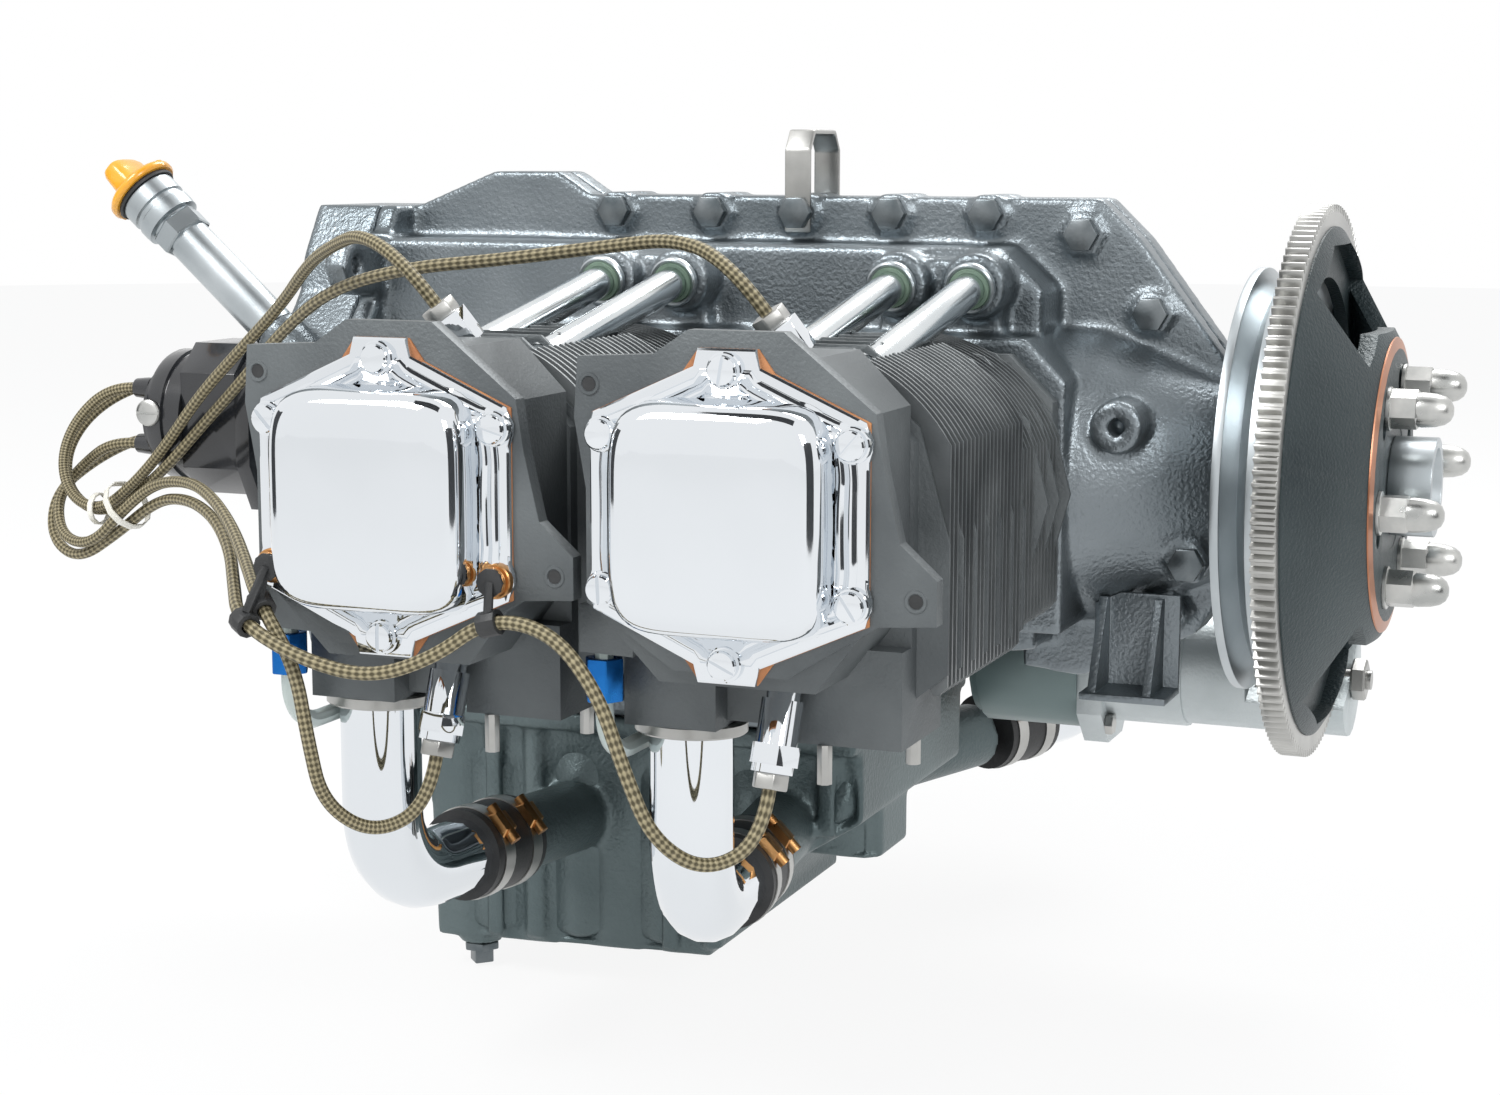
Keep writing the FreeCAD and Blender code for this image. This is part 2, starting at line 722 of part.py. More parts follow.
def make_crankcase(label, left):
    """One crankcase half. The halves meet on the plane of the crankshaft and camshaft axes."""
    body = new_body(label)
    side = {"backward": left}
    numbers = (2, 4) if left else (1, 3)
    middle = [("0", "-case_low"), ("330", "-case_low"), ("372", "-108"), ("446", "-100"), ("446", "110"),
              ("420", "134"), ("0", "134")]
    pad(body, "XZ_Plane", [RIM], "flange_half", **side)
    pad(body, "XZ_Plane", [middle], "62", **side)
    half_nose(body, left)
    decks, bosses, spots, spigots = [], [], [], []
    for number in numbers:
        x = cylinder_x(number)
        decks.append([(f"{x} - 80", "-84"), (f"{x} + 80", "-84"), (f"{x} + 80", "60"), (f"{x} + 56", "84"),
                      (f"{x} - 56", "84"), (f"{x} - 80", "60")])
        bosses.append([(f"{x} - tube_spread - 15", "78"), (f"{x} + tube_spread + 15", "78"),
                       (f"{x} + tube_spread + 10", "128"), (f"{x} - tube_spread - 10", "128")])
        spots += [("circle", f"{x} {sign} tube_spread", "tube_boss_v", "tube_boss_r") for sign in ("-", "+")]
        spigots.append(("circle", x, "0", "barrel_r + face_gap"))
    pad(body, "XZ_Plane", decks, "deck", **side)
    pad(body, "XZ_Plane", bosses, "74", **side)
    pad(body, "XZ_Plane", spots, "tube_boss_w - 58", outward("58", left), **side)
    rail = [("0", "-case_low"), ("352", "-case_low"), ("352", "-case_low + 14"), ("0", "-case_low + 14")]
    pad(body, "XZ_Plane", [rail], "112", **side)
    pad(body, "XZ_Plane", [("circle", "497", "36", "15")], "52", outward("38", left), **side)
    for x, z, seat in CASE_BOLTS:
        pad(body, "XZ_Plane", [regular_at(x, z, "case_head_r + 3", 6)], seat, **side)
    pad(body, "YZ_Plane", [half_of(HOUSING, left)], "case_rear_wall")
    out, inner = ("lug_y", "50") if left else ("-lug_y", "-50")
    heights = ("lug_z", "-lug_z")
    pad(body, "YZ_Plane", [lug_outline(out, z, inner) for z in heights], "lug_thick")
    pocket(body, "YZ_Plane", [("circle", out, z, "lug_bore_r") for z in heights], "lug_thick")
    bore_out(body, side)
    pocket(body, "XZ_Plane", spigots, "56", outward("deck - 56", left), **side)
    pocket(body, "XZ_Plane", [("circle", "497", "36", "5")], "14", outward("76", left), **side)
    return body


def outward(depth, left):
    """The place of a sketch that stands off the parting plane, on this half's side of it."""
    return f"-({depth})" if left else depth


NOSE = [("430", "deck - 2"), ("474", "deck - 4"), ("522", "70"), ("nose_x", "nose_r")]


def half_nose(body, left):
    """The front of the case, which tapers round the crankshaft to its nose."""
    profile = NOSE + [("nose_x", "0"), ("430", "0")]
    nose = body.newObject("PartDesign::Revolution", body.Name + "_nose")
    nose.Profile = add_sketch(body, "XZ_Plane", [profile])
    nose.ReferenceAxis = (datum(body, "X_Axis"), [""])
    nose.Angle = 180
    nose.Reversed = left
    doc.recompute()
    reach = body.Shape.BoundBox
    if (reach.YMin if left else -reach.YMax) < -1:
        raise ValueError(f"the nose of {body.Label} is on the wrong side")


def regular_at(x, y, radius, sides):
    return [(f"{x} + ({radius})*cos({360 * i / sides:g}deg)", f"{y} + ({radius})*sin({360 * i / sides:g}deg)")
            for i in range(sides)]


def bore_out(body, side):
    """The crankshaft's chambers and bearing bores, the camshaft's tunnel and the way down to the sump."""
    rear = (f"{cylinder_x(4)} - pin_long/2 - web_thick - 4", f"{cylinder_x(3)} + pin_long/2 + web_thick + 4")
    front = (f"{cylinder_x(2)} - pin_long/2 - web_thick - 4", f"{cylinder_x(1)} + pin_long/2 + web_thick + 4")
    pocket(body, "YZ_Plane", [("circle", "0", "0", "journal_r + running_gap")], "nose_x + 2", "-1")
    pocket(body, "YZ_Plane", [("circle", "0", CAM_HIGH, "cam_shaft_r + running_gap")], f"{front[1]} + 12", "-0.5")
    for near, far in (rear, front):
        room = clipped("chamber_r", "chamber_r", "30")
        cam_room = clipped("cam_tunnel_r", "cam_tunnel_r", "8", CAM_HIGH)
        pocket(body, "YZ_Plane", [room], f"{far} - ({near})", near)
        pocket(body, "YZ_Plane", [cam_room], f"{far} - ({near})", near)
    holes = [[(near, "-case_low - 1"), (far, "-case_low - 1"), (far, "-60"), (near, "-60")]
             for near, far in (rear, front)]
    pocket(body, "XZ_Plane", holes, "48", **side)


def case_bolts():
    """The bolts along the crankcase's seam: heads on the right, nuts on the left."""
    pieces = []
    for x, z, face in CASE_BOLTS:
        x, z, face = size(x), size(z), size(face)
        strap = 3.0 if abs(x - size("eye_x")) < 1 else 0.0
        for side in (-1, 1):
            seat = side * (face + strap)
            pieces.append(hexagon((x, seat, z), (x, seat + side * 7, z), size("case_head_r")))
    return group("case_bolts", pieces)


def make_eye():
    """A strip bent over the seam, held on both sides by one through bolt."""
    body = new_body("lifting_eye")
    face = "flange_half + 4"
    top = "case_top + 40"
    outer = [(f"{face} + 3", "140"), (f"{face} + 3", f"{top} - 12"), (f"{face} - 5", top),
             (f"-{face.replace(' + ', ' - ')} + 5", top), (f"-({face} + 3)", f"{top} - 12"),
             (f"-({face} + 3)", "140")]
    inner = [(face, "138"), (face, f"{top} - 13"), (f"{face} - 7", f"{top} - 3"),
             (f"-({face} - 7)", f"{top} - 3"), (f"-({face})", f"{top} - 13"), (f"-({face})", "138")]
    pad(body, "YZ_Plane", [outer], "eye_wide", "eye_x - eye_wide/2")
    pocket(body, "YZ_Plane", [inner], "eye_wide + 2", "eye_x - eye_wide/2 - 1")
    return body


# ---------------------------------------------------------------- crankshaft and what turns with it

def web_outline(right, left):
    """A crank web: it reaches a pin on the right (-Y), on the left (+Y), or both."""
    reach = "(throw + pin_r + 2)"
    back = "(journal_r + 5)"
    low = f"-{reach}" if right else f"-{back}"
    high = reach if left else back
    return [(low, "-18"), (f"{low} + 18", "-34"), (f"{high} - 18", "-34"), (high, "-18"),
            (high, "18"), (f"{high} - 18", "34"), (f"{low} + 18", "34"), (low, "18")]


TAIL = "2*drive_gap + 2*drive_wide + 4"


def make_crankshaft():
    """Three main journals, four throws in one plane, the propeller flange and a tail for the drive gear."""
    body = new_body("crankshaft")
    half_pin = "(pin_long/2 + web_thick/2)"
    webs = [
        (f"{cylinder_x(4)} - {half_pin}", True, False),
        (f"{cylinder_x(4)} + {half_pin}", True, True),
        (f"{cylinder_x(3)} + {half_pin}", False, True),
        (f"{cylinder_x(2)} - {half_pin}", False, True),
        (f"{cylinder_x(2)} + {half_pin}", True, True),
        (f"{cylinder_x(1)} + {half_pin}", True, False),
    ]
    pad(body, "YZ_Plane", [("circle", "0", "0", "journal_r")], webs[0][0], "0")
    for number, (x, right, left) in enumerate(webs):
        pad(body, "YZ_Plane", [web_outline(right, left)], "web_thick", f"{x} - web_thick/2")
        if number == 2:
            length = f"{webs[3][0]} - ({x})"
            pad(body, "YZ_Plane", [("circle", "0", "0", "journal_r")], length, x)
        elif number < 5:
            owner = {0: 4, 1: 3, 3: 2, 4: 1}[number]
            side = "-throw" if owner in (1, 4) else "throw"
            pad(body, "YZ_Plane", [("circle", side, "0", "pin_r")], "pin_long + 2", f"{x} + web_thick/2 - 1")
    front = webs[5][0]
    pad(body, "YZ_Plane", [("circle", "0", "0", "journal_r")], f"hub_face_x - hub_plate - ({front})", front)
    pad(body, "YZ_Plane", [("circle", "0", "0", "flange_r")], "flange_thick", "hub_face_x - hub_plate - flange_thick")
    pad(body, "YZ_Plane", [("circle", "0", "0", "register_r")], "hub_plate", "hub_face_x - hub_plate")
    pad(body, "YZ_Plane", [("circle", "0", "0", "pilot_r")], "pilot_out", "hub_face_x")
    pocket(body, "YZ_Plane", [("circle", "0", "0", "pilot_r - 6")], "pilot_out + 20", "hub_face_x - 20")
    pad(body, "YZ_Plane", [("circle", "0", "0", "tail_r")], TAIL, f"-({TAIL})")
    for y, z in prop_spots():
        pocket(body, "YZ_Plane", [("circle", y, z, "prop_stud_r + 0.15")], "flange_thick",
               "hub_face_x - hub_plate - flange_thick")
    return body


def prop_spots():
    """Where the propeller bolts stand, as size expressions for y and z."""
    spots = []
    for i in range(int(size("prop_bolts"))):
        turned = f"(prop_bolt_turn_deg + {i}*360/prop_bolts)*1deg"
        spots.append((f"prop_bolt_circle_r*sin({turned})", f"prop_bolt_circle_r*cos({turned})"))
    return spots


def make_support():
    """The cast cone that carries the starter ring gear and clamps between crank flange and propeller."""
    body = new_body("gear_support")
    back = "hub_face_x - hub_plate"
    profile = [
        ("gear_face_x - 11", "ring_bore_r - 29"), ("gear_face_x - 11", "ring_bore_r"),
        ("gear_face_x + 1", "ring_bore_r"), ("hub_face_x - 3", "cone_front_r"),
        ("hub_face_x", "hub_r - 2"), ("hub_face_x", "pilot_r + 8"),
        ("hub_face_x - face_relief", "pilot_r + 8"), ("hub_face_x - face_relief", "register_r + 0.1"),
        (back, "register_r + 0.1"), (back, "cone_front_r - cone_wall"), ("gear_face_x - 2", "ring_bore_r - 14"),
    ]
    turn(body, profile)
    for sign in (1, -1):
        window = [
            (f"{r}*sin({side}*window_half_deg*1deg)", f"{sign}*{r}*cos({side}*window_half_deg*1deg)")
            for r, side in (("(cone_front_r + 8)", -1), ("(cone_front_r + 8)", -0.5), ("(cone_front_r + 8)", 0.5),
                            ("(cone_front_r + 8)", 1), ("(ring_bore_r - 7)", 0.9), ("(ring_bore_r - 7)", 0.3),
                            ("(ring_bore_r - 7)", -0.3), ("(ring_bore_r - 7)", -0.9))
        ]
        pocket(body, "YZ_Plane", [window], "60", "gear_face_x - 15")
    for y, z in prop_spots():
        pocket(body, "YZ_Plane", [("circle", y, z, "prop_stud_r + 0.15")], "hub_plate", back)
    return body


def make_pulley():
    """The V-belt pulley behind the ring gear, with a register that seats on the support's rim."""
    body = new_body("drive_pulley")
    rear = "pulley_rear_x"
    profile = [
        (rear, "pulley_r - 22"), (rear, "pulley_r"), (f"{rear} + 5", "pulley_r"),
        (f"{rear} + 12", "pulley_r - pulley_groove"), (f"{rear} + 19", "pulley_r"),
        ("gear_face_x - 11", "pulley_r"), ("gear_face_x - 11", "pulley_r - 22"),
    ]
    turn(body, profile)
    return body


def ring_gear():
    """The starter ring gear, shrunk on the support's rim."""
    radius = size("ring_module*ring_teeth/2")
    outline = toothed(radius, int(size("ring_teeth")), size("ring_module"), 0.0)
    place = Vector(size("gear_face_x - ring_wide"), 0, 0)
    blank = gear_solid(outline, size("ring_wide"), place)
    bore = rod(place - Vector(1, 0, 0), place + Vector(size("ring_wide") + 1, 0, 0), size("ring_bore_r"))
    return group("ring_gear", [blank.cut(bore)])


def prop_nuts():
    """Six bolts through crank flange and support, each closed by a domed nut."""
    back, face = size("hub_face_x - hub_plate - flange_thick"), size("hub_face_x")
    pieces = []
    for y, z in prop_spots():
        y, z = size(y), size(z)
        head = hexagon((back - 8, y, z), (back, y, z), size("prop_nut_r"))
        shank = hexagon((back - 1, y, z), (face + 1, y, z), size("prop_stud_r"), 8)
        nut = hexagon((face, y, z), (face + 25, y, z), size("prop_nut_r"))
        dome = hexagon((face + 25, y, z), (face + 32, y, z), size("prop_nut_r") * 0.84, 10)
        tip = hexagon((face + 32, y, z), (face + 36, y, z), size("prop_nut_r") * 0.5, 10)
        pieces.append(head.fuse([shank, nut, dome, tip]))
    return group("prop_nuts", pieces)


# ---------------------------------------------------------------- gears

TOOTH_SLOPE = math.tan(math.radians(20))


def toothed(pitch_r, teeth, module, first_deg, slack=0.25):
    """The outline of a spur gear with straight-flanked teeth, one of them centred on an angle."""
    half = math.pi * module / 4 - slack
    ends = ((-1.15 * module, half + 1.15 * module * TOOTH_SLOPE), (0.85 * module, half - 0.85 * module * TOOTH_SLOPE))
    points = []
    for tooth in range(teeth):
        centre = math.radians(first_deg) + math.tau * tooth / teeth
        for sign, order in ((-1, ends), (1, ends[::-1])):
            for rise, wide in order:
                angle = centre + sign * wide / pitch_r
                points.append(Vector(0, (pitch_r + rise) * math.cos(angle), (pitch_r + rise) * math.sin(angle)))
    return points


def gear_solid(outline, wide, place):
    face = Part.Face(Part.makePolygon(outline + outline[:1]))
    solid = face.extrude(Vector(wide, 0, 0))
    solid.translate(place)
    return solid


class Gear:
    """A gear of the accessory drive: its teeth, place across the engine and the turn of its teeth."""

    def __init__(self, teeth, centre, driver=None):
        self.teeth = int(size(teeth))
        self.module = size("drive_module")
        self.radius = self.teeth * self.module / 2
        self.centre = centre
        self.first = 0.0
        if driver:
            toward = math.degrees(math.atan2(centre[1] - driver.centre[1], centre[0] - driver.centre[0]))
            phase = (driver.first - toward) * driver.teeth / 360
            self.first = toward + 180 - (phase + 0.5) * 360 / self.teeth

    def solid(self, rear, wide, bore):
        outline = toothed(self.radius, self.teeth, self.module, self.first)
        blank = gear_solid(outline, wide, Vector(rear, *self.centre))
        hole = rod((rear - 1, *self.centre), (rear + wide + 1, *self.centre), bore)
        return blank.cut(hole)


def drive_train():
    """Crank gear, an idler each side, the camshaft's gear and a gear on each magneto's shaft."""
    crank = Gear("crank_teeth", (0.0, 0.0))
    idlers, magnetos = {}, {}
    for side, name in ((-1, "right"), (1, "left")):
        idler_centre = (side * IDLER_Y, IDLER_Z)
        idlers[name] = Gear("idler_teeth", idler_centre, crank)
        magnetos[name] = Gear("magneto_teeth", (side * size("magneto_y"), size("magneto_z")), idlers[name])
    cam = Gear("cam_teeth", (0.0, CAM_Z), idlers["right"])
    return crank, idlers, magnetos, cam


REAR_PLANE = "-(2*drive_gap + 2*drive_wide)"
FRONT_PLANE = "-(drive_gap + drive_wide)"


def make_drive():
    """The gears inside the accessory housing, the camshaft and the two magneto rotors."""
    crank, idlers, magnetos, cam = drive_train()
    front, rear = size(FRONT_PLANE), size(REAR_PLANE)
    wide = size("drive_wide")
    group("crank_gear", [crank.solid(rear, front + wide - rear, size("tail_r"))])
    for name, plane in (("right", front), ("left", rear)):
        group(f"idler_{name}", [idlers[name].solid(plane, wide, size("idler_pin_r + running_gap"))])
        group(f"rotor_{name}", [magneto_rotor(magnetos[name], plane)])
    group("camshaft", [camshaft(cam, front)])


def magneto_rotor(gear, plane):
    """Gear, shaft and magnet of a magneto."""
    y, z = gear.centre
    tail = size("-(housing_deep + magneto_flange)")
    end = tail - 36
    shaft = rod((end, y, z), (plane + 1, y, z), size("magneto_shaft_r"))
    magnet = rod((end, y, z), (tail - 6, y, z), size("magneto_hollow_r - 3"))
    return gear.solid(plane, size("drive_wide"), size("magneto_shaft_r") - 2).fuse([shaft, magnet])


def cam_outline(x, turn_deg):
    """A lobe's face: a base circle with a rounded nose."""
    points = []
    for step in range(18):
        angle = math.tau * step / 18
        rise = max(0.0, math.cos(angle - math.radians(turn_deg))) ** 4
        radius = size("cam_base_r") + size("cam_lift") * rise
        points.append(Vector(x, radius * math.cos(angle), CAM_Z + radius * math.sin(angle)))
    return Part.Face(Part.makePolygon(points + points[:1]))


def camshaft(gear, plane):
    """The camshaft: a middle lobe opens a pair of facing valves, the outer ones a valve each."""
    front_end = size(f"{cylinder_x(1)} + pin_long/2 + web_thick + 14")
    shaft = rod((plane, 0, CAM_Z), (front_end, 0, CAM_Z), size("cam_shaft_r"))
    lobes = []
    for left_cylinder, right_cylinder, first_deg in ((4, 3, 20), (2, 1, 110)):
        spread = size("tube_spread")
        near = CYL_X[left_cylinder] - spread
        far = CYL_X[right_cylinder] + spread
        for number, x in enumerate((near, (near + far) / 2, far)):
            outline = cam_outline(x - size("cam_lobe_wide") / 2, first_deg + 110 * number)
            lobes.append(outline.extrude(Vector(size("cam_lobe_wide"), 0, 0)))
    return shaft.fuse(lobes + [gear.solid(plane, size("drive_wide"), size("cam_shaft_r") - 2)])


def make_piston():
    """A piston at the top of its stroke, in the cylinder's frame, with its wrist pin pressed in."""
    body = new_body("piston_1")
    low = "crown_top - piston_tall"
    pad(body, "XY_Plane", [("circle", "0", "0", "bore_r - piston_gap")], "piston_tall", low)
    pocket(body, "XY_Plane", [regular("bore_r - piston_gap - piston_wall", 12)],
           "piston_tall - piston_wall - 3", low)
    reach = "(bore_r - piston_gap - 2)"
    pad(body, "YZ_Plane", [("circle", "0", "crown_top - 40", "wrist_pin_r")], f"2*{reach}", f"-{reach}")
    doc.recompute()
    return body


# ---------------------------------------------------------------- accessory housing and magnetos

FILLER_WAY = ("-sin(filler_tilt*1deg)", "0", "cos(filler_tilt*1deg)")


def filler_place():
    """The oil filler's own frame: its origin on the housing's boss, z along the tube."""
    base = Vector(size("-filler_x"), size("-filler_y"), size("filler_z"))
    return FreeCAD.Placement(base, turned_to(FILLER_WAY))


def make_housing():
    """The cover over the drive gears at the back of the crankcase."""
    body = new_body("accessory_housing")
    pad(body, "YZ_Plane", [mirrored(HOUSING)], "housing_deep", "-housing_deep")
    root = ("-filler_x + filler_boss*sin(filler_tilt*1deg)", "-filler_y",
            "filler_z - filler_boss*cos(filler_tilt*1deg)")
    pad(body, "XY_Plane", [regular("filler_r + 2", 12)], "filler_boss", (root, FILLER_WAY))
    cavity = "housing_deep - housing_rear_wall"
    pocket(body, "YZ_Plane", [mirrored(inset_by(HOUSING, "housing_wall"))], cavity, f"-({cavity})")
    for side, plane in (("-", FRONT_PLANE), ("", REAR_PLANE)):
        pin = ("circle", f"{side}{IDLER_Y:.6f}", f"{IDLER_Z:.6f}", "idler_pin_r")
        pad(body, "YZ_Plane", [pin], f"{cavity} + 1 + {plane} + drive_wide", f"-({cavity}) - 1")
    shafts = [("circle", f"{side}magneto_y", "magneto_z", "magneto_shaft_r + running_gap") for side in ("-", "")]
    pocket(body, "YZ_Plane", shafts, "housing_rear_wall + 2", "-housing_deep - 1")
    tip = ("-filler_x", "-filler_y", "filler_z")
    pocket(body, "XY_Plane", [("circle", "0", "0", "filler_r - filler_wall - 1")], "filler_boss - 6",
           (tip, FILLER_WAY), True)
    pocket(body, "XY_Plane", [("circle", "0", "0", "filler_r + face_gap")], "30", (tip, FILLER_WAY))
    # the drive pad for a tachometer cable, low in the middle
    pad(body, "YZ_Plane", [regular_at("0", "-72", "16", 12)], "12", "-housing_deep - 12")
    doc.recompute()
    return body


def make_magneto():
    """A magneto's flange and body in the frame of its shaft, and the cap behind it."""
    body = new_body("magneto_right")
    rear = "(magneto_flange + magneto_body - 2)"
    flange = clipped("magneto_half_wide - 1", "magneto_half_tall - 8", "14")
    pad(body, "YZ_Plane", [flange], "magneto_flange", "-magneto_flange")
    outline = clipped("magneto_half_wide", "magneto_half_tall", "18", "1")
    pad(body, "YZ_Plane", [outline], "magneto_body - 2", f"-{rear}")
    hollow = [("circle", "0", "0", "magneto_hollow_r")]
    pocket(body, "YZ_Plane", hollow, "magneto_body - 4", f"-{rear}")
    pocket(body, "YZ_Plane", [("circle", "0", "0", "magneto_shaft_r + 1")], "magneto_flange + 4",
           "-magneto_flange - 3")
    cap = new_body("magneto_cap_right")
    end = f"({rear} + magneto_cap_long)"
    profile = [(f"-{rear}", "0"), (f"-{rear}", "magneto_cap_r"), (f"-{end} + 12", "magneto_cap_r"),
               (f"-{end} + 4", "magneto_cap_r - 4"), (f"-{end}", "magneto_cap_r - 12"), (f"-{end}", "0")]
    turn(cap, profile)
    outlets = [regular_at(f"{y}outlet_spread", f"{z}outlet_spread", "outlet_r", 8)
               for y in ("-", "") for z in ("-", "")]
    pad(cap, "YZ_Plane", outlets, "outlet_out + 1", f"-{end} - outlet_out")
    pocket(cap, "YZ_Plane", [regular("magneto_cap_r - 7", 12)], "magneto_cap_long - 14",
           f"-{rear} - magneto_cap_long + 14")
    doc.recompute()
    for piece, name in ((body, "magneto_left"), (cap, "magneto_cap_left")):
        copy_of(piece, name, magneto_place(1))
        piece.Placement = magneto_place(-1)


def magneto_place(side):
    return FreeCAD.Placement(Vector(size("-housing_deep"), side * size("magneto_y"), size("magneto_z")),
                             FreeCAD.Rotation())


def copy_of(body, label, place):
    """Another piece of the same make, elsewhere."""
    feature = doc.addObject("Part::Feature", label)
    feature.Label = label
    feature.Shape = local_shape(body)
    feature.Placement = place
    return feature


# ---------------------------------------------------------------- oil system

def make_filler():
    """Filler tube, its cap and the dipstick, all in the filler's frame."""
    neck = "(filler_long - filler_neck)"
    tube = new_body("filler_tube")
    pad(tube, "XY_Plane", [("circle", "0", "0", "filler_r")], "filler_long")
    pad(tube, "XY_Plane", [("circle", "0", "0", "filler_neck_r")], "filler_neck", neck)
    pad(tube, "XY_Plane", [regular("filler_neck_r - 1", 6)], "14", f"{neck} - 14")
    pocket(tube, "XY_Plane", [("circle", "0", "0", "filler_r - filler_wall")], "filler_long")
    cap = new_body("filler_cap")
    pad(cap, "XY_Plane", [("circle", "0", "0", "cap_r")], "6", "filler_long + face_gap")
    grip = clipped("cap_r - 4", "cap_r - 11", "5")
    pad(cap, "XY_Plane", [grip], "cap_tall - 6", "filler_long + face_gap + 6")
    pocket(cap, "XY_Plane", [("circle", "0", "0", "dipstick_r + 1 + running_gap")], "9", "filler_long + face_gap")
    stick = new_body("dipstick")
    pad(stick, "XY_Plane", [("circle", "0", "0", "filler_r - filler_wall - face_gap")], "4", "filler_long - 5")
    pad(stick, "XY_Plane", [("circle", "0", "0", "dipstick_r + 1")], "12", "filler_long - 4")
    pad(stick, "XY_Plane", [("circle", "0", "0", "dipstick_r")], "filler_long", "-4")
    doc.recompute()
    for piece in (tube, cap, stick):
        piece.Placement = filler_place()


SUMP_SIDE = [("60", "-case_low - 13"), ("sump_long", "-case_low - 13"), ("sump_long", "-205"), ("278", "-252"),
             ("255", "-298"), ("66", "-sump_deep")]
SPIGOTS = {1: ("300", "212"), 2: ("305", "212"), 3: ("165", "218"), 4: ("190", "218")}


def spigot_line(number):
    """From the sump's side to the bend of a cylinder's intake pipe, as size expressions."""
    sign = "" if number % 2 == 0 else "-"
    x, low = SPIGOTS[number]
    port = f"{cylinder_x(number)} {'-' if number % 2 == 0 else '+'} intake_u"
    return (x, f"{sign}(sump_half - 4)", f"-{low}"), (port, f"{sign}intake_w", "-pipe_drop")


def make_sump():
    """The ribbed oil sump, with the carburettor's pad and four stubs for the intake pipes."""
    body = new_body("oil_sump")
    rail_low = "-case_low - sump_gasket - sump_rail"
    rail = [("0", "-case_low - sump_gasket"), ("sump_long", "-case_low - sump_gasket"), ("sump_long", rail_low),
            ("0", rail_low)]
    pad(body, "XZ_Plane", [rail], "2*(sump_half + 12)", "-(sump_half + 12)")
    pad(body, "XZ_Plane", [SUMP_SIDE], "2*sump_half", "-sump_half")
    ribs = []
    for x, low in ((104, 300), (132, 298), (224, 296), (252, 292), (326, 214)):
        ribs.append([(f"{x}", "-case_low - 12"), (f"{x + 12}", "-case_low - 12"), (f"{x + 12}", f"-{low}"),
                     (f"{x}", f"-{low}")])
    pad(body, "XZ_Plane", ribs, "2*(sump_half + 5)", "-(sump_half + 5)")
    seat = clipped("carb_half", "carb_half", "8")
    pad(body, "XY_Plane", [[(f"306 + {y}", z) for y, z in seat]], "40", "-246")
    for number in SPIGOTS:
        base, bend = spigot_line(number)
        way = tuple(f"({b}) - ({a})" for a, b in zip(base, bend))
        pad(body, "XY_Plane", [("circle", "0", "0", "intake_r")], "spigot_long", (base, way))
        pocket(body, "XY_Plane", [("circle", "0", "0", "intake_r - 4")], "spigot_long - 14",
               (tuple(f"{a} + ({w})*14/200" for a, w in zip(base, way)), way))
    boss = [("circle", "plug_x", "-plug_y", "14")]
    pad(body, "XY_Plane", boss, "12", "-sump_deep - 5")
    inner = [("66", "-case_low"), ("sump_long - sump_wall", "-case_low"), ("sump_long - sump_wall", "-200"),
             ("274", "-246"), ("250", "-292"), ("72", "-sump_deep + 6")]
    pocket(body, "XZ_Plane", [inner], "2*(sump_half - sump_wall)", "-(sump_half - sump_wall)")
    pocket(body, "XY_Plane", [[(f"306 + {y}", z) for y, z in regular("25", 14)]], "10", "-246")
    doc.recompute()
    return body


def drain_plug():
    x, y = size("plug_x"), size("-plug_y")
    seat = size("-sump_deep - 5")
    head = hexagon((x, y, seat - 5), (x, y, seat), 12)
    return group("drain_plug", [head.fuse(hexagon((x, y, seat - 14), (x, y, seat - 4), 8.5, 4))])


# ---------------------------------------------------------------- pipes and leads

class Route:
    """Straight runs joined by tangent arcs, each arc as large as its runs allow unless a bend is given."""

    def __init__(self, points, bend=None):
        self.points = [Vector(*point) for point in points]
        self.edges = []
        self.middles = {}
        self.radii = []
        start = self.points[0]
        for i in range(1, len(self.points) - 1):
            before, here, after = self.points[i - 1:i + 2]
            back, on = before - here, after - here
            half = (math.pi - back.getAngle(on)) / 2
            reach = 0.45 * min(back.Length, on.Length)
            radius = reach / math.tan(half)
            if bend:
                radius = bend
                reach = radius * math.tan(half)
            self.radii.append(radius)
            back.normalize()
            on.normalize()
            first, last = here + back * reach, here + on * reach
            inward = (back + on).normalize()
            middle = here + inward * (radius / math.cos(half) - radius)
            self.middles[i] = (middle, (on - back).normalize())
            self.edges += [Part.LineSegment(start, first).toShape(), Part.Arc(first, middle, last).toShape()]
            start = last
        self.edges.append(Part.LineSegment(start, self.points[-1]).toShape())

    def tube(self, radius, sides):
        """A bar along the route; a cord's or pipe's section is a regular outline."""
        way = Part.Wire(self.edges)
        corners = [Vector(radius * math.cos(math.tau * i / sides), radius * math.sin(math.tau * i / sides), 0)
                   for i in range(sides + 1)]
        face = Part.makePolygon(corners)
        face.Placement = FreeCAD.Placement(
            self.points[0], FreeCAD.Rotation(Vector(0, 0, 1), self.points[1] - self.points[0]))
        solid = way.makePipeShell([face], True, False)
        expected = sides / 2 * math.sin(math.tau / sides) * radius ** 2 * way.Length
        if abs(solid.Volume / expected - 1) > 0.01:
            raise ValueError("a tube's volume isn't its section times its length")
        return solid


def local_on(number, point):
    """A point of a cylinder's frame, in the engine's."""
    return CYLINDERS[number].multVec(Vector(*point))


def intake_run(number):
    """The three points of an intake pipe's line: at the head, at the bend and at the sump."""
    base, bend = spigot_line(number)
    port = local_on(number, (size("intake_u"), size("-intake_face"), size("intake_w")))
    return port, Vector(*map(size, bend)), Vector(*map(size, base))


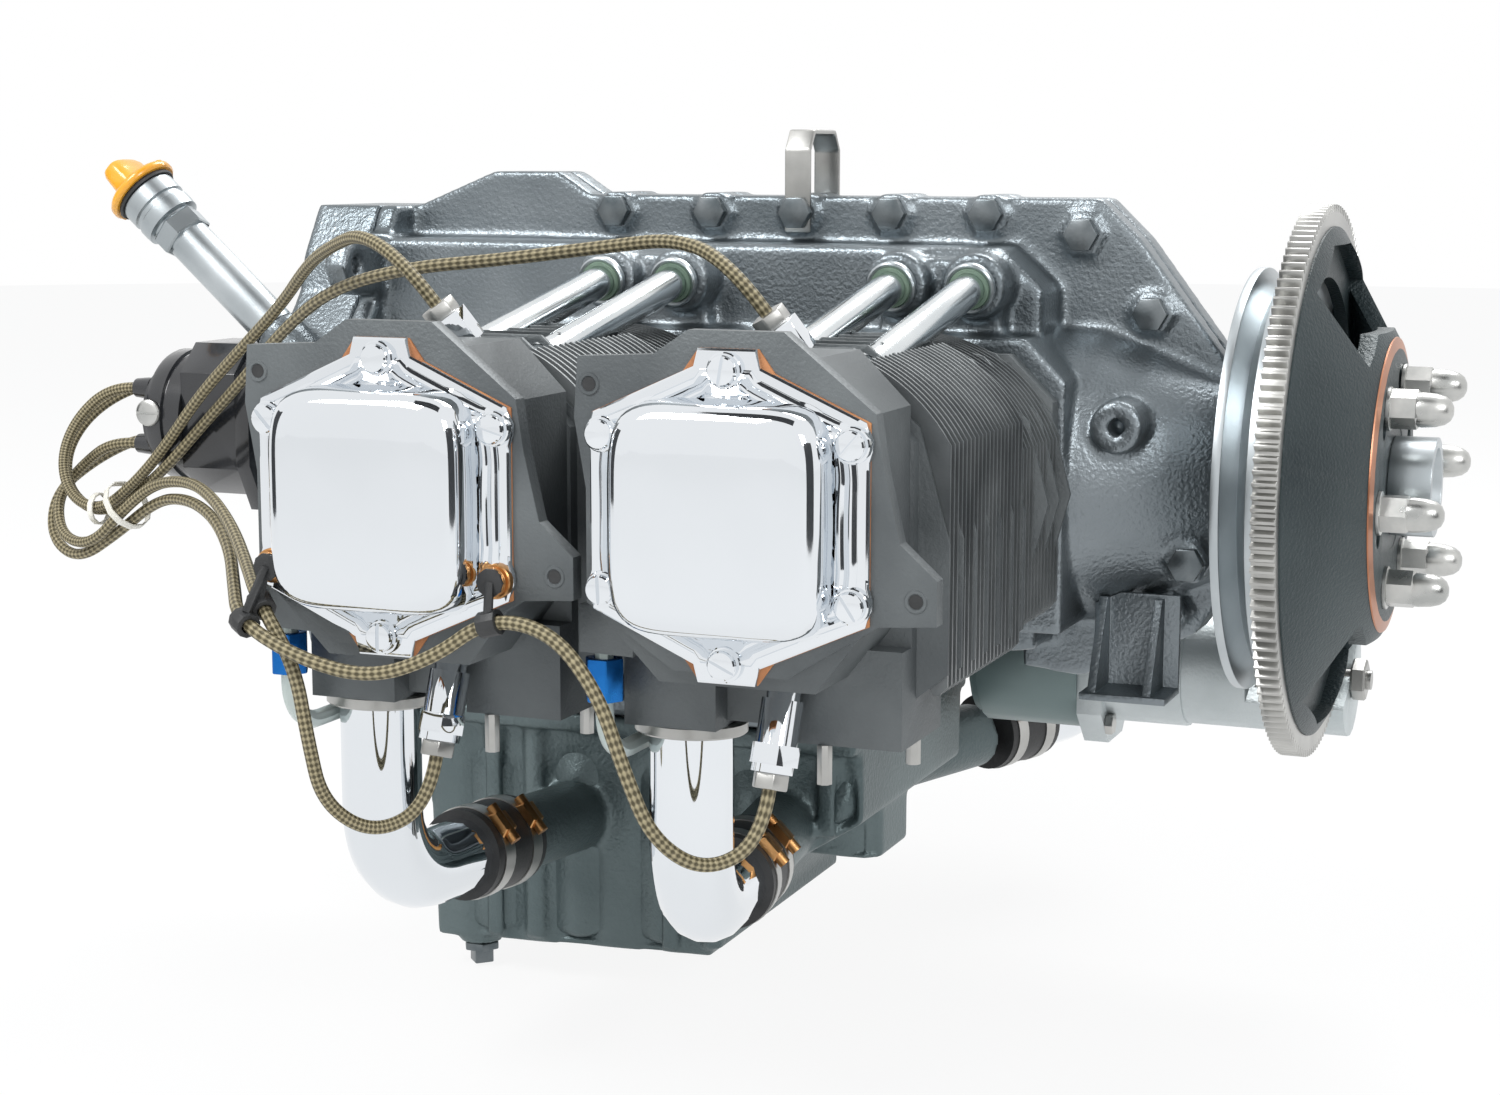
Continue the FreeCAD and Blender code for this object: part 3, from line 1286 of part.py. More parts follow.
def make_induction():
    """Intake pipes, the hoses that join them to the sump's stubs, and the bands round the hoses."""
    pipes, hoses, bands = [], [], []
    for number in CYLINDERS:
        port, bend, base = intake_run(number)
        inward = (base - bend).normalize()
        end = bend + inward * size("pipe_end")
        route = Route([port, bend, end], size("pipe_bend"))
        flange = hexagon((0, 0, 0), (0, 0, 8), size("intake_r + 10"), 8)
        flange = placed(flange, FreeCAD.Placement(port, FreeCAD.Rotation(Vector(0, 0, 1), Vector(0, 0, -1))))
        pipe = route.tube(size("intake_r"), 16).fuse(flange).cut(route.tube(size("intake_r - pipe_wall"), 16))
        pipes.append(pipe)
        middle = end + inward * 3
        half = inward * (size("hose_long") / 2)
        inner = size("intake_r + hose_gap")
        outer = inner + size("hose_thick")
        hoses.append(sleeve(middle - half, middle + half, outer, inner))
        for side in (-1, 1):
            centre = middle + half * side * 0.68
            bands.append(sleeve(centre - inward * 4, centre + inward * 4, outer + 1.8, outer))
    group("intake_pipes", pipes)
    group("intake_hoses", hoses)
    group("hose_clamps", bands)


def make_returns():
    """The bent pipes that drain each head to the crankcase's rail, and their nuts."""
    pipes, nuts = [], []
    rail = size("-case_low + 14")
    for number in CYLINDERS:
        u, w = size("return_u"), size("return_w")
        top = local_on(number, (u, -58, w))
        over = local_on(number, (u, -114, w))
        x = size("sump_long - 9") if number < 3 else size("sump_long - 9 - cyl_pitch")
        side = 1 if number % 2 == 0 else -1
        bend = local_on(number, (u, -114, 262))
        near = Vector(x, side * 132, -114)
        elbow = Vector(x, side * 104, -114)
        points = [top, over, bend, near, elbow, Vector(x, elbow.y, rail)]
        pipes.append(Route(points).tube(size("return_r"), 8))
        seat = local_on(number, (u, -62, w))
        low = local_on(number, (u, -84, w))
        nut = hexagon(seat, low, 10.5)
        nuts.append(nut.cut(hexagon(top, over, size("return_r + 0.5"), 8)))
    group("oil_return_tubes", pipes)
    group("return_nuts", nuts)


# ---------------------------------------------------------------- ignition

PLUGS = {"top": ((8, 82, 312), (-10, 110, 322)), "bottom": ((12, -50, 343), (8, -118, 362))}


def make_plugs(cylinder):
    """Two spark plugs on each cylinder, and the lead nuts of the two leads' cylinders."""
    bodies, nuts = [], []
    for place in ("top", "bottom"):
        seat, tip = (Vector(*point) for point in PLUGS[place])
        way = (tip - seat).normalize()
        barrel = hexagon(seat, tip - way * 8, 8.5, 12)
        collar = hexagon(tip - way * 26, tip - way * 8, 11.5)
        if place == "bottom":
            collar = hexagon(tip - way * 44, tip - way * 8, 10.5, 12).fuse(hexagon(tip - way * 22, tip - way * 12, 13))
        bodies.append(barrel.fuse(collar).cut(cylinder))
        nuts.append(hexagon(tip - way * 8, tip, 9.5))
    on_each("spark_plugs", bodies)
    on_each("lead_nuts", nuts, (1, 3))


def plug_tip(number, place):
    """Where a lead meets its nut, and the point before that on the plug's line."""
    seat, tip = (Vector(*point) for point in PLUGS[place])
    way = (tip - seat).normalize()
    return [tuple(local_on(number, tip + way * run)) for run in (26, 0)]


def outlet(y_sign, z_sign):
    back = size("-(housing_deep + magneto_flange + magneto_body - 2 + magneto_cap_long + outlet_out)")
    spread = size("outlet_spread")
    return back, size("-magneto_y") + y_sign * spread, size("magneto_z") + z_sign * spread


def lead_routes():
    """The four ignition leads, each from the right magneto's cap to its plug."""
    return {
        "lead_3_top": [
            outlet(-1, 1), (-164, -106, 37), (-186, -114, 16), (-194, -121, -10), (-185, -125, -34),
            (-160, -127, -42), (-132, -128, -22), (-104, -133, 4), (-70, -145, 38), (-28, -160, 70),
            (24, -196, 100), (72, -244, 126), (112, -284, 138), (150, -318, 146)] + plug_tip(3, "top"),
        "lead_1_top": [
            outlet(1, 1), (-164, -70, 37), (-190, -90, 20), (-200, -108, -6), (-193, -116, -32),
            (-168, -118, -46), (-138, -119, -30), (-108, -130, -12), (-74, -134, 20), (-34, -150, 50),
            (20, -190, 84), (84, -240, 112), (150, -272, 126), (215, -284, 132), (280, -300, 140),
            (333, -318, 146)] + plug_tip(1, "top"),
        "lead_3_bottom": [
            outlet(-1, -1), (-164, -106, 1), (-190, -100, -14), (-208, -108, -36), (-196, -122, -61),
            (-164, -133, -64), (-134, -139, -38), (-104, -146, -18), (-60, -172, -12), (-10, -222, -14),
            (48, -290, -20), (98, -354, -28), (138, -407, -34), (160, -409, -66), (166, -408, -104),
            (170, -402, -138), (190, -386, -156)] + plug_tip(3, "bottom"),
        "lead_1_bottom": [
            outlet(1, -1), (-166, -70, 1), (-196, -80, -14), (-218, -96, -36), (-212, -111, -64),
            (-183, -122, -76), (-148, -128, -56), (-108, -138, -30), (-66, -166, -24), (-14, -216, -26),
            (44, -288, -32), (92, -358, -38), (132, -416, -44), (168, -419, -60), (206, -415, -68),
            (240, -411, -56), (270, -410, -34), (304, -411, -38), (328, -411, -66), (340, -409, -102),
            (352, -402, -138), (373, -386, -156)] + plug_tip(1, "bottom"),
    }


def make_leads():
    routes = {label: Route(points) for label, points in lead_routes().items()}
    for label, route in routes.items():
        group(label, [route.tube(size("lead_r"), 6)])
        print(label, "length", round(Part.Wire(route.edges).Length), "radii", [round(r) for r in route.radii])
    holders = []
    for screw_u, held in ((-1, (("lead_3_bottom", 12), ("lead_1_bottom", 12))), (1, (("lead_1_bottom", 16),))):
        screw = local_on(3, (screw_u * size("screw_side_u"), size("cover_centre - screw_side_v"),
                             size("cover_plane + gasket_thick + cover_rim + 4")))
        eye = hexagon(screw, screw - Vector(0, 3, 0), size("screw_r + 1.5"), 10)
        rings = []
        bores = []
        for label, at in held:
            middle, way = routes[label].middles[at]
            rings.append(hexagon(middle - way * 5, middle + way * 5, size("lead_r + 3"), 10))
            bores.append(hexagon(middle - way * 9, middle + way * 9, size("lead_r + 0.5"), 10))
            link = middle - screw
            rings.append(hexagon(screw - Vector(0, 2.6, 0), screw - Vector(0, 2.6, 0) + link * 0.8, 2.4))
        cap = eye.fuse(rings).cut(bores)
        holders.append(max(cap.Solids, key=lambda solid: solid.Volume))
    group("lead_clamps", holders)
    bands = [tie(routes, 6, 5), tie({name: routes[name] for name in ("lead_3_top", "lead_1_top")}, 5, 4)]
    group("lead_ties", bands)


def tie(routes, at, wide):
    """A flat band drawn round the leads that pass a point of their routes."""
    passing = [route.middles[at] for route in routes.values()]
    way = sum((w for _, w in passing), Vector()).normalize()
    centre = sum((m for m, _ in passing), Vector()) * (1 / len(passing))
    spread = max(middle.distanceToLine(centre, way) for middle, _ in passing)
    inner = spread + size("lead_r") + 0.8
    half = way * (wide / 2)
    return sleeve(centre - half, centre + half, inner + 1.8, inner, 12)


def exhaust_studs():
    """Two studs at each exhaust port, with their nuts."""
    face = size("exhaust_face")
    studs = []
    for side in (-1, 1):
        u = size("exhaust_u") + side * -13.5
        w = size("exhaust_w") + side * 28.5
        studs.append(hexagon((u, -face, w), (u, -face - 20, w), size("stud_r"), 8))
    on_each("exhaust_studs", studs)


# ---------------------------------------------------------------- starter and bracket

def make_starter():
    """The starter: motor, front housing whose nose is open to the ring gear, and the pinion."""
    y, z = "starter_y", "-starter_z"
    motor = new_body("starter_motor")
    pad(motor, "YZ_Plane", [regular_at(y, z, "motor_r", 20)], "motor_front_x - motor_rear_x", "motor_rear_x")
    pad(motor, "YZ_Plane", [regular_at(y, z, "motor_r - 5", 20)], "6", "motor_rear_x - 6")
    case = new_body("starter_housing")
    flange = [(f"{y} + {a}", f"{z} + {b}") for a, b in clipped("40", "50", "22")]
    pad(case, "YZ_Plane", [flange], "starter_flange", "motor_front_x")
    pad(case, "YZ_Plane", [regular_at(y, z, "starter_case_r", 20)], "50", "motor_front_x + starter_flange - 1")
    nose = "starter_nose_x - 500"
    pad(case, "YZ_Plane", [regular_at(y, z, "starter_nose_r", 20)], nose, "500")
    arm = [("flange_half", "-97"), (y, "-97"), (y, "-118"), ("flange_half", "-112")]
    pad(case, "YZ_Plane", [arm], "28", "462")
    hollow = [("circle", y, z, "20")]
    pocket(case, "YZ_Plane", hollow, "starter_nose_x - 8 - 548", "548")
    pocket(case, "YZ_Plane", [("circle", y, z, "pinion_shaft_r + running_gap")], "starter_nose_x - 508", "510")
    reach = f"{size('ring_module*(ring_teeth + 2)/2') + 3:g}"
    pocket(case, "YZ_Plane", [("circle", "0", "0", reach)], "70", "545")
    doc.recompute()
    pinion_r = size("ring_module*pinion_teeth/2")
    outline = toothed(pinion_r, int(size("pinion_teeth")), size("ring_module"), 0.0)
    spot = Vector(size("pinion_x"), size(y), size(z))
    gear = gear_solid(outline, size("pinion_wide"), spot)
    shaft = rod((512, spot.y, spot.z), (size("starter_nose_x") + 12, spot.y, spot.z), size("pinion_shaft_r"))
    group("starter_pinion", [gear.fuse(shaft)])
    return motor, case


def make_bracket():
    """The alternator's bracket: a plate, two ribs and a shelf with two slots."""
    body = new_body("alternator_bracket")
    long = "bracket_long"
    back = [("-46", "-64"), ("-50", "-64"), ("-50", "-122"), ("-46", "-122")]
    pad(body, "YZ_Plane", [back], long, "bracket_x")
    shelf = [("-46", "-118"), ("-84", "-118"), ("-84", "-122"), ("-46", "-122")]
    pad(body, "YZ_Plane", [shelf], long, "bracket_x")
    rib = [("-49", "-66"), ("-56", "-66"), ("-82", "-119"), ("-49", "-119")]
    for x in ("bracket_x + 4", "bracket_x + bracket_long - 14"):
        pad(body, "YZ_Plane", [rib], "5", x)
    foot = [("-48", "-88"), ("-48", "-106"), ("-flange_half", "-98"), ("-flange_half", "-84")]
    pad(body, "YZ_Plane", [foot], "26", "bracket_x")
    clear = [(x, f"{reach} + face_gap") for x, reach in NOSE]
    turn(body, clear + [("nose_x", "0"), ("430", "0")], cut=True)
    doc.recompute()
    return body


# ---------------------------------------------------------------- the whole engine

def build():
    cylinder, cover, piston = make_cylinder(), make_cover(), make_piston()
    shape = local_shape(cylinder)
    on_each("cover_gaskets", [make_gasket()])
    on_each("cover_screws", cover_screws())
    on_each("base_nuts", base_nuts())
    on_each("pushrod_tubes", pushrod_tubes())
    on_each("tube_seals", tube_seals())
    make_plugs(shape)
    exhaust_studs()
    stroke = FreeCAD.Placement(Vector(0, 0, size("-2*throw")), FreeCAD.Rotation())
    for number in (2, 3, 4):
        place = CYLINDERS[number]
        copy_of(cylinder, f"cylinder_{number}", place)
        copy_of(cover, f"rocker_cover_{number}", place)
        copy_of(piston, f"piston_{number}", place if number == 2 else place.multiply(stroke))
    for body in (cylinder, cover, piston):
        body.Placement = CYLINDERS[1]
    for label, left in (("crankcase_right", False), ("crankcase_left", True)):
        make_crankcase(label, left)
    case_bolts()
    make_eye()
    make_housing()
    make_magneto()
    make_filler()
    make_sump()
    drain_plug()
    make_induction()
    make_returns()
    make_leads()
    make_crankshaft()
    make_support()
    make_pulley()
    ring_gear()
    prop_nuts()
    make_drive()
    make_starter()
    make_bracket()


def nodes():
    """The pieces to be written: bodies and free shapes, never a body's own features."""
    return [thing for thing in doc.Objects
            if thing.TypeId == "PartDesign::Body" or (thing.TypeId == "Part::Feature" and not thing.InList)]


build()
doc.recompute()
for thing in doc.Objects:
    if {"Invalid", "Error"} & set(thing.State):
        raise ValueError(f"{thing.Label} failed")
for node in nodes():
    if node.Shape.isNull() or not node.Shape.isValid() or not node.Shape.Solids:
        raise ValueError(f"{node.Label} has no good shape")
os.makedirs("parts", exist_ok=True)
for node in nodes():
    node.Shape.exportStep(f"parts/{node.Label}.step")
print(len(nodes()), "nodes written")
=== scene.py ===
import bpy
import bmesh
import json
import math
from mathutils import Matrix, Vector

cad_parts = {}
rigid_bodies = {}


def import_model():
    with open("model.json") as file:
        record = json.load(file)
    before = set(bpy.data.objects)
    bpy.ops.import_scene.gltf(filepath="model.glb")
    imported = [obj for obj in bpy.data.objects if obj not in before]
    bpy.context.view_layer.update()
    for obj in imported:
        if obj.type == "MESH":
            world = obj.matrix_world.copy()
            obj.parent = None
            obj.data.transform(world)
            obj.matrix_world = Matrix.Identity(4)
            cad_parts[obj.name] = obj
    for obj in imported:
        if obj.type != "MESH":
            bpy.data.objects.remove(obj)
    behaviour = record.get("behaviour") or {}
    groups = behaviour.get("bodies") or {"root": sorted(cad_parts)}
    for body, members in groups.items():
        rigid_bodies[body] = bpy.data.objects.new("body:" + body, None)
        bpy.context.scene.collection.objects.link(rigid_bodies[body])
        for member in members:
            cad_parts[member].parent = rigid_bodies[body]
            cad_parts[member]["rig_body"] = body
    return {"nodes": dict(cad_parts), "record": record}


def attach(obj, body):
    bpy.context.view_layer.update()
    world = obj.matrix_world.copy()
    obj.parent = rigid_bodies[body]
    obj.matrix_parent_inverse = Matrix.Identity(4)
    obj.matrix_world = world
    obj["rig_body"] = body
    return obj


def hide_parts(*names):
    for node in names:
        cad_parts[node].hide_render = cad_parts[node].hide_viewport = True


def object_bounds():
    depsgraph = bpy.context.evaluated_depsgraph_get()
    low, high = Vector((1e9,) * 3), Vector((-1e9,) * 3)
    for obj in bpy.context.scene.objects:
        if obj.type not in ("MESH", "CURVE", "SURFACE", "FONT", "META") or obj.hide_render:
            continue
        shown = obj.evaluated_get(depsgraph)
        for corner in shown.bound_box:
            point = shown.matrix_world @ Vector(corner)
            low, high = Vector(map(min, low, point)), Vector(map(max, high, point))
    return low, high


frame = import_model()
nodes = frame["nodes"]
cad_box = [list(corner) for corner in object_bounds()]
scene = bpy.context.scene
MM = 0.001
TAU = 2 * math.pi
WELD = 0.00002

# ---------------------------------------------------------------- camera

# The view was fitted to the photograph: the angles in degrees, the place in metres, the lens in mm.
AZIMUTH, ELEVATION, ROLL = map(math.radians, (21.87, 8.75, 0.13))
VIEWPOINT = Vector((0.8369, -1.4848, 0.1865))
LENS, SENSOR = 61.2, 36
back = Vector((math.sin(AZIMUTH) * math.cos(ELEVATION), -math.cos(AZIMUTH) * math.cos(ELEVATION),
               math.sin(ELEVATION)))
right = Vector((math.cos(AZIMUTH), math.sin(AZIMUTH), 0))
up = back.cross(right)
across = right * math.cos(ROLL) + up * math.sin(ROLL)
upward = up * math.cos(ROLL) - right * math.sin(ROLL)
camera = bpy.data.objects.new("camera", bpy.data.cameras.new("camera"))
camera.data.lens = LENS
camera.data.sensor_width = SENSOR
camera.data.clip_start, camera.data.clip_end = 0.05, 60
place = Matrix((across, upward, back)).transposed().to_4x4()
place.translation = VIEWPOINT
camera.matrix_world = place
scene.collection.objects.link(camera)
scene.camera = camera


# ---------------------------------------------------------------- materials

def new_material(name):
    material = bpy.data.materials.new(name)
    material.use_nodes = True
    tree = material.node_tree
    return material, tree, tree.nodes["Principled BSDF"]


def finish_of(name, dark, light, metallic, roughness, grain=900, bump=0.1, depth=0.0004, mottling=30,
              coat=0.0, swing=0.12, specular=0.5):
    """A finish whose colour and roughness vary between two shades, with a fine surface relief."""
    material, tree, shader = new_material(name)
    add, link = tree.nodes.new, tree.links.new
    where = add("ShaderNodeTexCoord")
    blotch = add("ShaderNodeTexNoise")
    blotch.inputs["Scale"].default_value = mottling
    blotch.inputs["Detail"].default_value = 6
    link(where.outputs["Object"], blotch.inputs["Vector"])
    shades = add("ShaderNodeValToRGB")
    shades.color_ramp.elements[0].position, shades.color_ramp.elements[1].position = 0.3, 0.7
    shades.color_ramp.elements[0].color = (*dark, 1)
    shades.color_ramp.elements[1].color = (*light, 1)
    link(blotch.outputs["Fac"], shades.inputs["Fac"])
    link(shades.outputs["Color"], shader.inputs["Base Color"])
    gloss = add("ShaderNodeMapRange")
    gloss.inputs["To Min"].default_value = max(0.02, roughness - swing)
    gloss.inputs["To Max"].default_value = min(1, roughness + swing)
    link(blotch.outputs["Fac"], gloss.inputs["Value"])
    link(gloss.outputs["Result"], shader.inputs["Roughness"])
    if bump:
        relief = add("ShaderNodeTexNoise")
        relief.inputs["Scale"].default_value = grain
        relief.inputs["Detail"].default_value = 3
        link(where.outputs["Object"], relief.inputs["Vector"])
        height = add("ShaderNodeBump")
        height.inputs["Strength"].default_value = bump
        height.inputs["Distance"].default_value = depth
        link(relief.outputs["Fac"], height.inputs["Height"])
        link(height.outputs["Normal"], shader.inputs["Normal"])
    shader.inputs["Metallic"].default_value = metallic
    shader.inputs["Specular IOR Level"].default_value = specular
    shader.inputs["Coat Weight"].default_value = coat
    shader.inputs["Coat Roughness"].default_value = 0.1
    return material


CAST = finish_of("cast_grey", (0.15, 0.175, 0.19), (0.27, 0.30, 0.32), 0.85, 0.34, 420, 0.5, 0.0012, 9)
HEAD = finish_of("head_grey", (0.085, 0.095, 0.10), (0.15, 0.165, 0.17), 0.5, 0.48, 520, 0.35, 0.0008, 14)
FIN = finish_of("fin_grey", (0.12, 0.13, 0.135), (0.22, 0.235, 0.24), 0.6, 0.40, 600, 0.2, 0.0005, 20)
SUMP = finish_of("sump_grey", (0.075, 0.105, 0.11), (0.15, 0.19, 0.195), 0.55, 0.42, 380, 0.55, 0.0012, 10)
CHROME = finish_of("chrome", (0.74, 0.77, 0.80), (0.82, 0.85, 0.88), 1.0, 0.045, 60, 0.015, 0.0002,
                   4, swing=0.02)
POLISHED = finish_of("polished_tube", (0.62, 0.66, 0.68), (0.80, 0.83, 0.84), 1.0, 0.16, 200, 0.04,
                     0.0002, 12)
ZINC = finish_of("zinc", (0.42, 0.43, 0.42), (0.62, 0.62, 0.60), 1.0, 0.3, 700, 0.12, 0.0003, 60)
STEEL = finish_of("steel", (0.34, 0.34, 0.33), (0.55, 0.55, 0.53), 1.0, 0.34, 800, 0.15, 0.0003, 25)
DARK_BOLT = finish_of("dark_bolt", (0.10, 0.12, 0.13), (0.22, 0.24, 0.25), 0.9, 0.32, 700, 0.15, 0.0004, 60)
SATIN = finish_of("satin_aluminium", (0.38, 0.42, 0.44), (0.56, 0.60, 0.62), 1.0, 0.34, 700, 0.12, 0.0003, 18)
PALE_CAST = finish_of("pale_cast", (0.40, 0.45, 0.46), (0.62, 0.66, 0.67), 0.55, 0.45, 500, 0.35, 0.0008, 14)
MOTOR = finish_of("motor_paint", (0.10, 0.15, 0.15), (0.19, 0.25, 0.25), 0.35, 0.35, 300, 0.15, 0.0004, 8)
GASKET = finish_of("gasket", (0.30, 0.11, 0.04), (0.50, 0.22, 0.09), 0.0, 0.7, 900, 0.3, 0.0003, 60)
SEAL = finish_of("seal_rubber", (0.10, 0.16, 0.12), (0.20, 0.28, 0.21), 0.0, 0.5, 500, 0.2, 0.0003, 40)
GLOSS_BLACK = finish_of("gloss_black", (0.008, 0.009, 0.011), (0.022, 0.024, 0.028), 0.0, 0.22, 300, 0.08,
                        0.0004, 20, coat=0.6)
RUBBER = finish_of("hose_rubber", (0.010, 0.011, 0.012), (0.035, 0.036, 0.037), 0.0, 0.5, 500, 0.4,
                   0.0005, 40)
NYLON = finish_of("nylon", (0.72, 0.70, 0.62), (0.85, 0.83, 0.76), 0.0, 0.4, 400, 0.1, 0.0003, 60)
BLUE = finish_of("blue_anodised", (0.005, 0.10, 0.38), (0.02, 0.20, 0.58), 0.85, 0.25, 500, 0.08, 0.0003, 40)
YELLOW = finish_of("cap_yellow", (0.72, 0.30, 0.012), (0.86, 0.42, 0.03), 0.0, 0.28, 200, 0.08,
                   0.0005, 25, coat=0.4)
CONE = finish_of("cone_paint", (0.015, 0.026, 0.030), (0.045, 0.062, 0.066), 0.3, 0.42, 520, 0.7, 0.0012, 10)
COPPER = finish_of("bare_edge", (0.36, 0.15, 0.08), (0.55, 0.27, 0.17), 1.0, 0.36, 600, 0.15, 0.0003, 30)
BRASS = finish_of("brass", (0.42, 0.20, 0.07), (0.62, 0.34, 0.14), 1.0, 0.32, 600, 0.2, 0.0004, 80)
PISTON = finish_of("piston_alloy", (0.55, 0.55, 0.56), (0.72, 0.72, 0.73), 1.0, 0.3, 600, 0.1, 0.0003, 30)
PIPE_GREY = finish_of("return_tube", (0.40, 0.47, 0.45), (0.58, 0.64, 0.62), 0.6, 0.36, 500, 0.12, 0.0003, 20)


def braid():
    """Olive and tan strands wound both ways round a lead."""
    material, tree, shader = new_material("lead_braid")
    add, link = tree.nodes.new, tree.links.new

    def sum_of(kind, first, second):
        node = add("ShaderNodeMath")
        node.operation = kind
        for socket, value in zip(node.inputs, (first, second)):
            if isinstance(value, (int, float)):
                socket.default_value = value
            else:
                link(value, socket)
        return node.outputs[0]

    where = add("ShaderNodeTexCoord")
    split = add("ShaderNodeSeparateXYZ")
    link(where.outputs["UV"], split.inputs[0])
    along = sum_of("MULTIPLY", split.outputs[0], 620.0)
    around = sum_of("MULTIPLY", split.outputs[1], TAU * 4)
    one = sum_of("SINE", sum_of("ADD", along, around), 0)
    other = sum_of("SINE", sum_of("SUBTRACT", along, around), 0)
    weave = sum_of("MULTIPLY", one, other)
    shades = add("ShaderNodeValToRGB")
    shades.color_ramp.elements[0].position, shades.color_ramp.elements[1].position = 0.25, 0.8
    shades.color_ramp.elements[0].color = (0.075, 0.062, 0.03, 1)
    shades.color_ramp.elements[1].color = (0.36, 0.31, 0.19, 1)
    link(sum_of("MULTIPLY_ADD", weave, 0.5), shades.inputs["Fac"])
    link(shades.outputs["Color"], shader.inputs["Base Color"])
    height = add("ShaderNodeBump")
    height.inputs["Strength"].default_value = 0.7
    height.inputs["Distance"].default_value = 0.0006
    link(weave, height.inputs["Height"])
    link(height.outputs["Normal"], shader.inputs["Normal"])
    shader.inputs["Roughness"].default_value = 0.55
    shader.inputs["Metallic"].default_value = 0.15
    return material


BRAID = braid()


# ---------------------------------------------------------------- building helpers

def show(name, mesh, material, body, slot, *replaced):
    """Link a mesh as a piece of the object that rides on a body."""
    piece = bpy.data.objects.new(name, mesh)
    scene.collection.objects.link(piece)
    mesh.materials.clear()
    for each in (material if isinstance(material, list) else [material]):
        mesh.materials.append(each)
    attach(piece, body)
    if replaced:
        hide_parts(*replaced)
    return piece


def soften(mesh, angle=32):
    """Smooth shading, kept sharp along edges that turn by more than the angle."""
    work = bmesh.new()
    work.from_mesh(mesh)
    for face in work.faces:
        face.smooth = True
    for edge in work.edges:
        edge.smooth = len(edge.link_faces) == 2 and edge.calc_face_angle(0) < math.radians(angle)
    work.to_mesh(mesh)
    work.free()
    return mesh


class Shape:
    """Closed forms gathered in one mesh, each set in its place by a matrix."""

    def __init__(self):
        self.work = bmesh.new()

    def loft(self, loops, place=Matrix(), tip=None, foot=None):
        """Skin rings of equal count; tip and foot close the ends in a point, otherwise a flat face does."""
        rows = [[self.work.verts.new(place @ Vector(p)) for p in ring] for ring in loops]
        count = len(rows[0])
        for low, high in zip(rows, rows[1:]):
            for i in range(count):
                j = (i + 1) % count
                self.work.faces.new((low[i], low[j], high[j], high[i]))
        for row, point, turn in ((rows[0], foot, -1), (rows[-1], tip, 1)):
            if point is None:
                self.work.faces.new(row[::turn])
            else:
                apex = self.work.verts.new(place @ Vector(point))
                for i in range(count):
                    ends = (row[i], row[(i + 1) % count])[::turn]
                    self.work.faces.new((*ends, apex))
        return self

    def lathe(self, profile, place=Matrix(), sides=32, turn=0.0):
        """Turn (radius, height) points round z."""
        rings = [[(r * math.cos(TAU * i / sides + turn), r * math.sin(TAU * i / sides + turn), h)
                  for i in range(sides)] for r, h in profile if r > 0]
        foot = (0, 0, profile[0][1]) if profile[0][0] == 0 else None
        tip = (0, 0, profile[-1][1]) if profile[-1][0] == 0 else None
        return self.loft(rings, place, tip, foot)

    def prism(self, outline, low, high, place=Matrix(), edge=0.0):
        """An outline given height, its ends drawn in by edge."""
        middle = [sum(p[k] for p in outline) / len(outline) for k in (0, 1)]

        def drawn(by):
            reach = max(math.hypot(x - middle[0], y - middle[1]) for x, y in outline)
            share = 1 - by / reach
            return [(middle[0] + (x - middle[0]) * share, middle[1] + (y - middle[1]) * share)
                    for x, y in outline]

        steps = [(outline, low), (outline, high)]
        if edge:
            steps = [(drawn(edge), low), (outline, low + edge), (outline, high - edge), (drawn(edge), high)]
        return self.loft([[(x, y, h) for x, y in loop] for loop, h in steps], place)

    def ring(self, profile, place=Matrix(), sides=32):
        """Turn a closed (radius, height) section round z."""
        turns = [TAU * i / sides for i in range(sides)]
        rows = [[self.work.verts.new(place @ Vector((r * math.cos(t), r * math.sin(t), h))) for t in turns]
                for r, h in profile]
        for k, low in enumerate(rows):
            high = rows[(k + 1) % len(rows)]
            for i in range(sides):
                j = (i + 1) % sides
                self.work.faces.new((low[i], low[j], high[j], high[i]))
        return self

    def mesh(self, name, angle=32):
        bmesh.ops.recalc_face_normals(self.work, faces=self.work.faces)
        bmesh.ops.scale(self.work, vec=(MM, MM, MM), verts=self.work.verts)
        mesh = bpy.data.meshes.new(name)
        self.work.to_mesh(mesh)
        self.work.free()
        return soften(mesh, angle)


def aim(start, end, spin=0.0):
    """The frame at start whose z axis points to end."""
    way = (Vector(end) - Vector(start)).normalized()
    turned = way.to_track_quat("Z", "Y").to_matrix().to_4x4() @ Matrix.Rotation(spin, 4, "Z")
    turned.translation = Vector(start)
    return turned


def on_axis(x, y, z, spin=0.0):
    """A frame whose z axis is the engine's forward axis."""
    return aim((x, y, z), (x + 1, y, z), spin)


def hex_ring(radius, spin=0.0):
    return [(radius * math.cos(TAU * i / 6 + spin), radius * math.sin(TAU * i / 6 + spin)) for i in range(6)]


def applied(piece_name, mesh, *modifiers):
    """The mesh that modifiers make of a mesh; each modifier is (kind, {setting: value})."""
    holder = bpy.data.objects.new(piece_name + "_work", mesh)
    scene.collection.objects.link(holder)
    for kind, settings in modifiers:
        modifier = holder.modifiers.new(kind, kind)
        for key, value in settings.items():
            setattr(modifier, key, value)
    bpy.context.view_layer.update()
    result = bpy.data.meshes.new_from_object(holder.evaluated_get(bpy.context.evaluated_depsgraph_get()))
    bpy.data.objects.remove(holder)
    result.name = piece_name
    return result


def copied(node):
    """A CAD node's mesh as one welded skin with flat areas in single faces."""
    work = bmesh.new()
    work.from_mesh(nodes[node].data)
    bmesh.ops.remove_doubles(work, verts=work.verts, dist=WELD)
    bmesh.ops.dissolve_limit(work, angle_limit=math.radians(1.0), verts=work.verts, edges=work.edges)
    mesh = bpy.data.meshes.new(node)
    work.to_mesh(mesh)
    work.free()
    return mesh


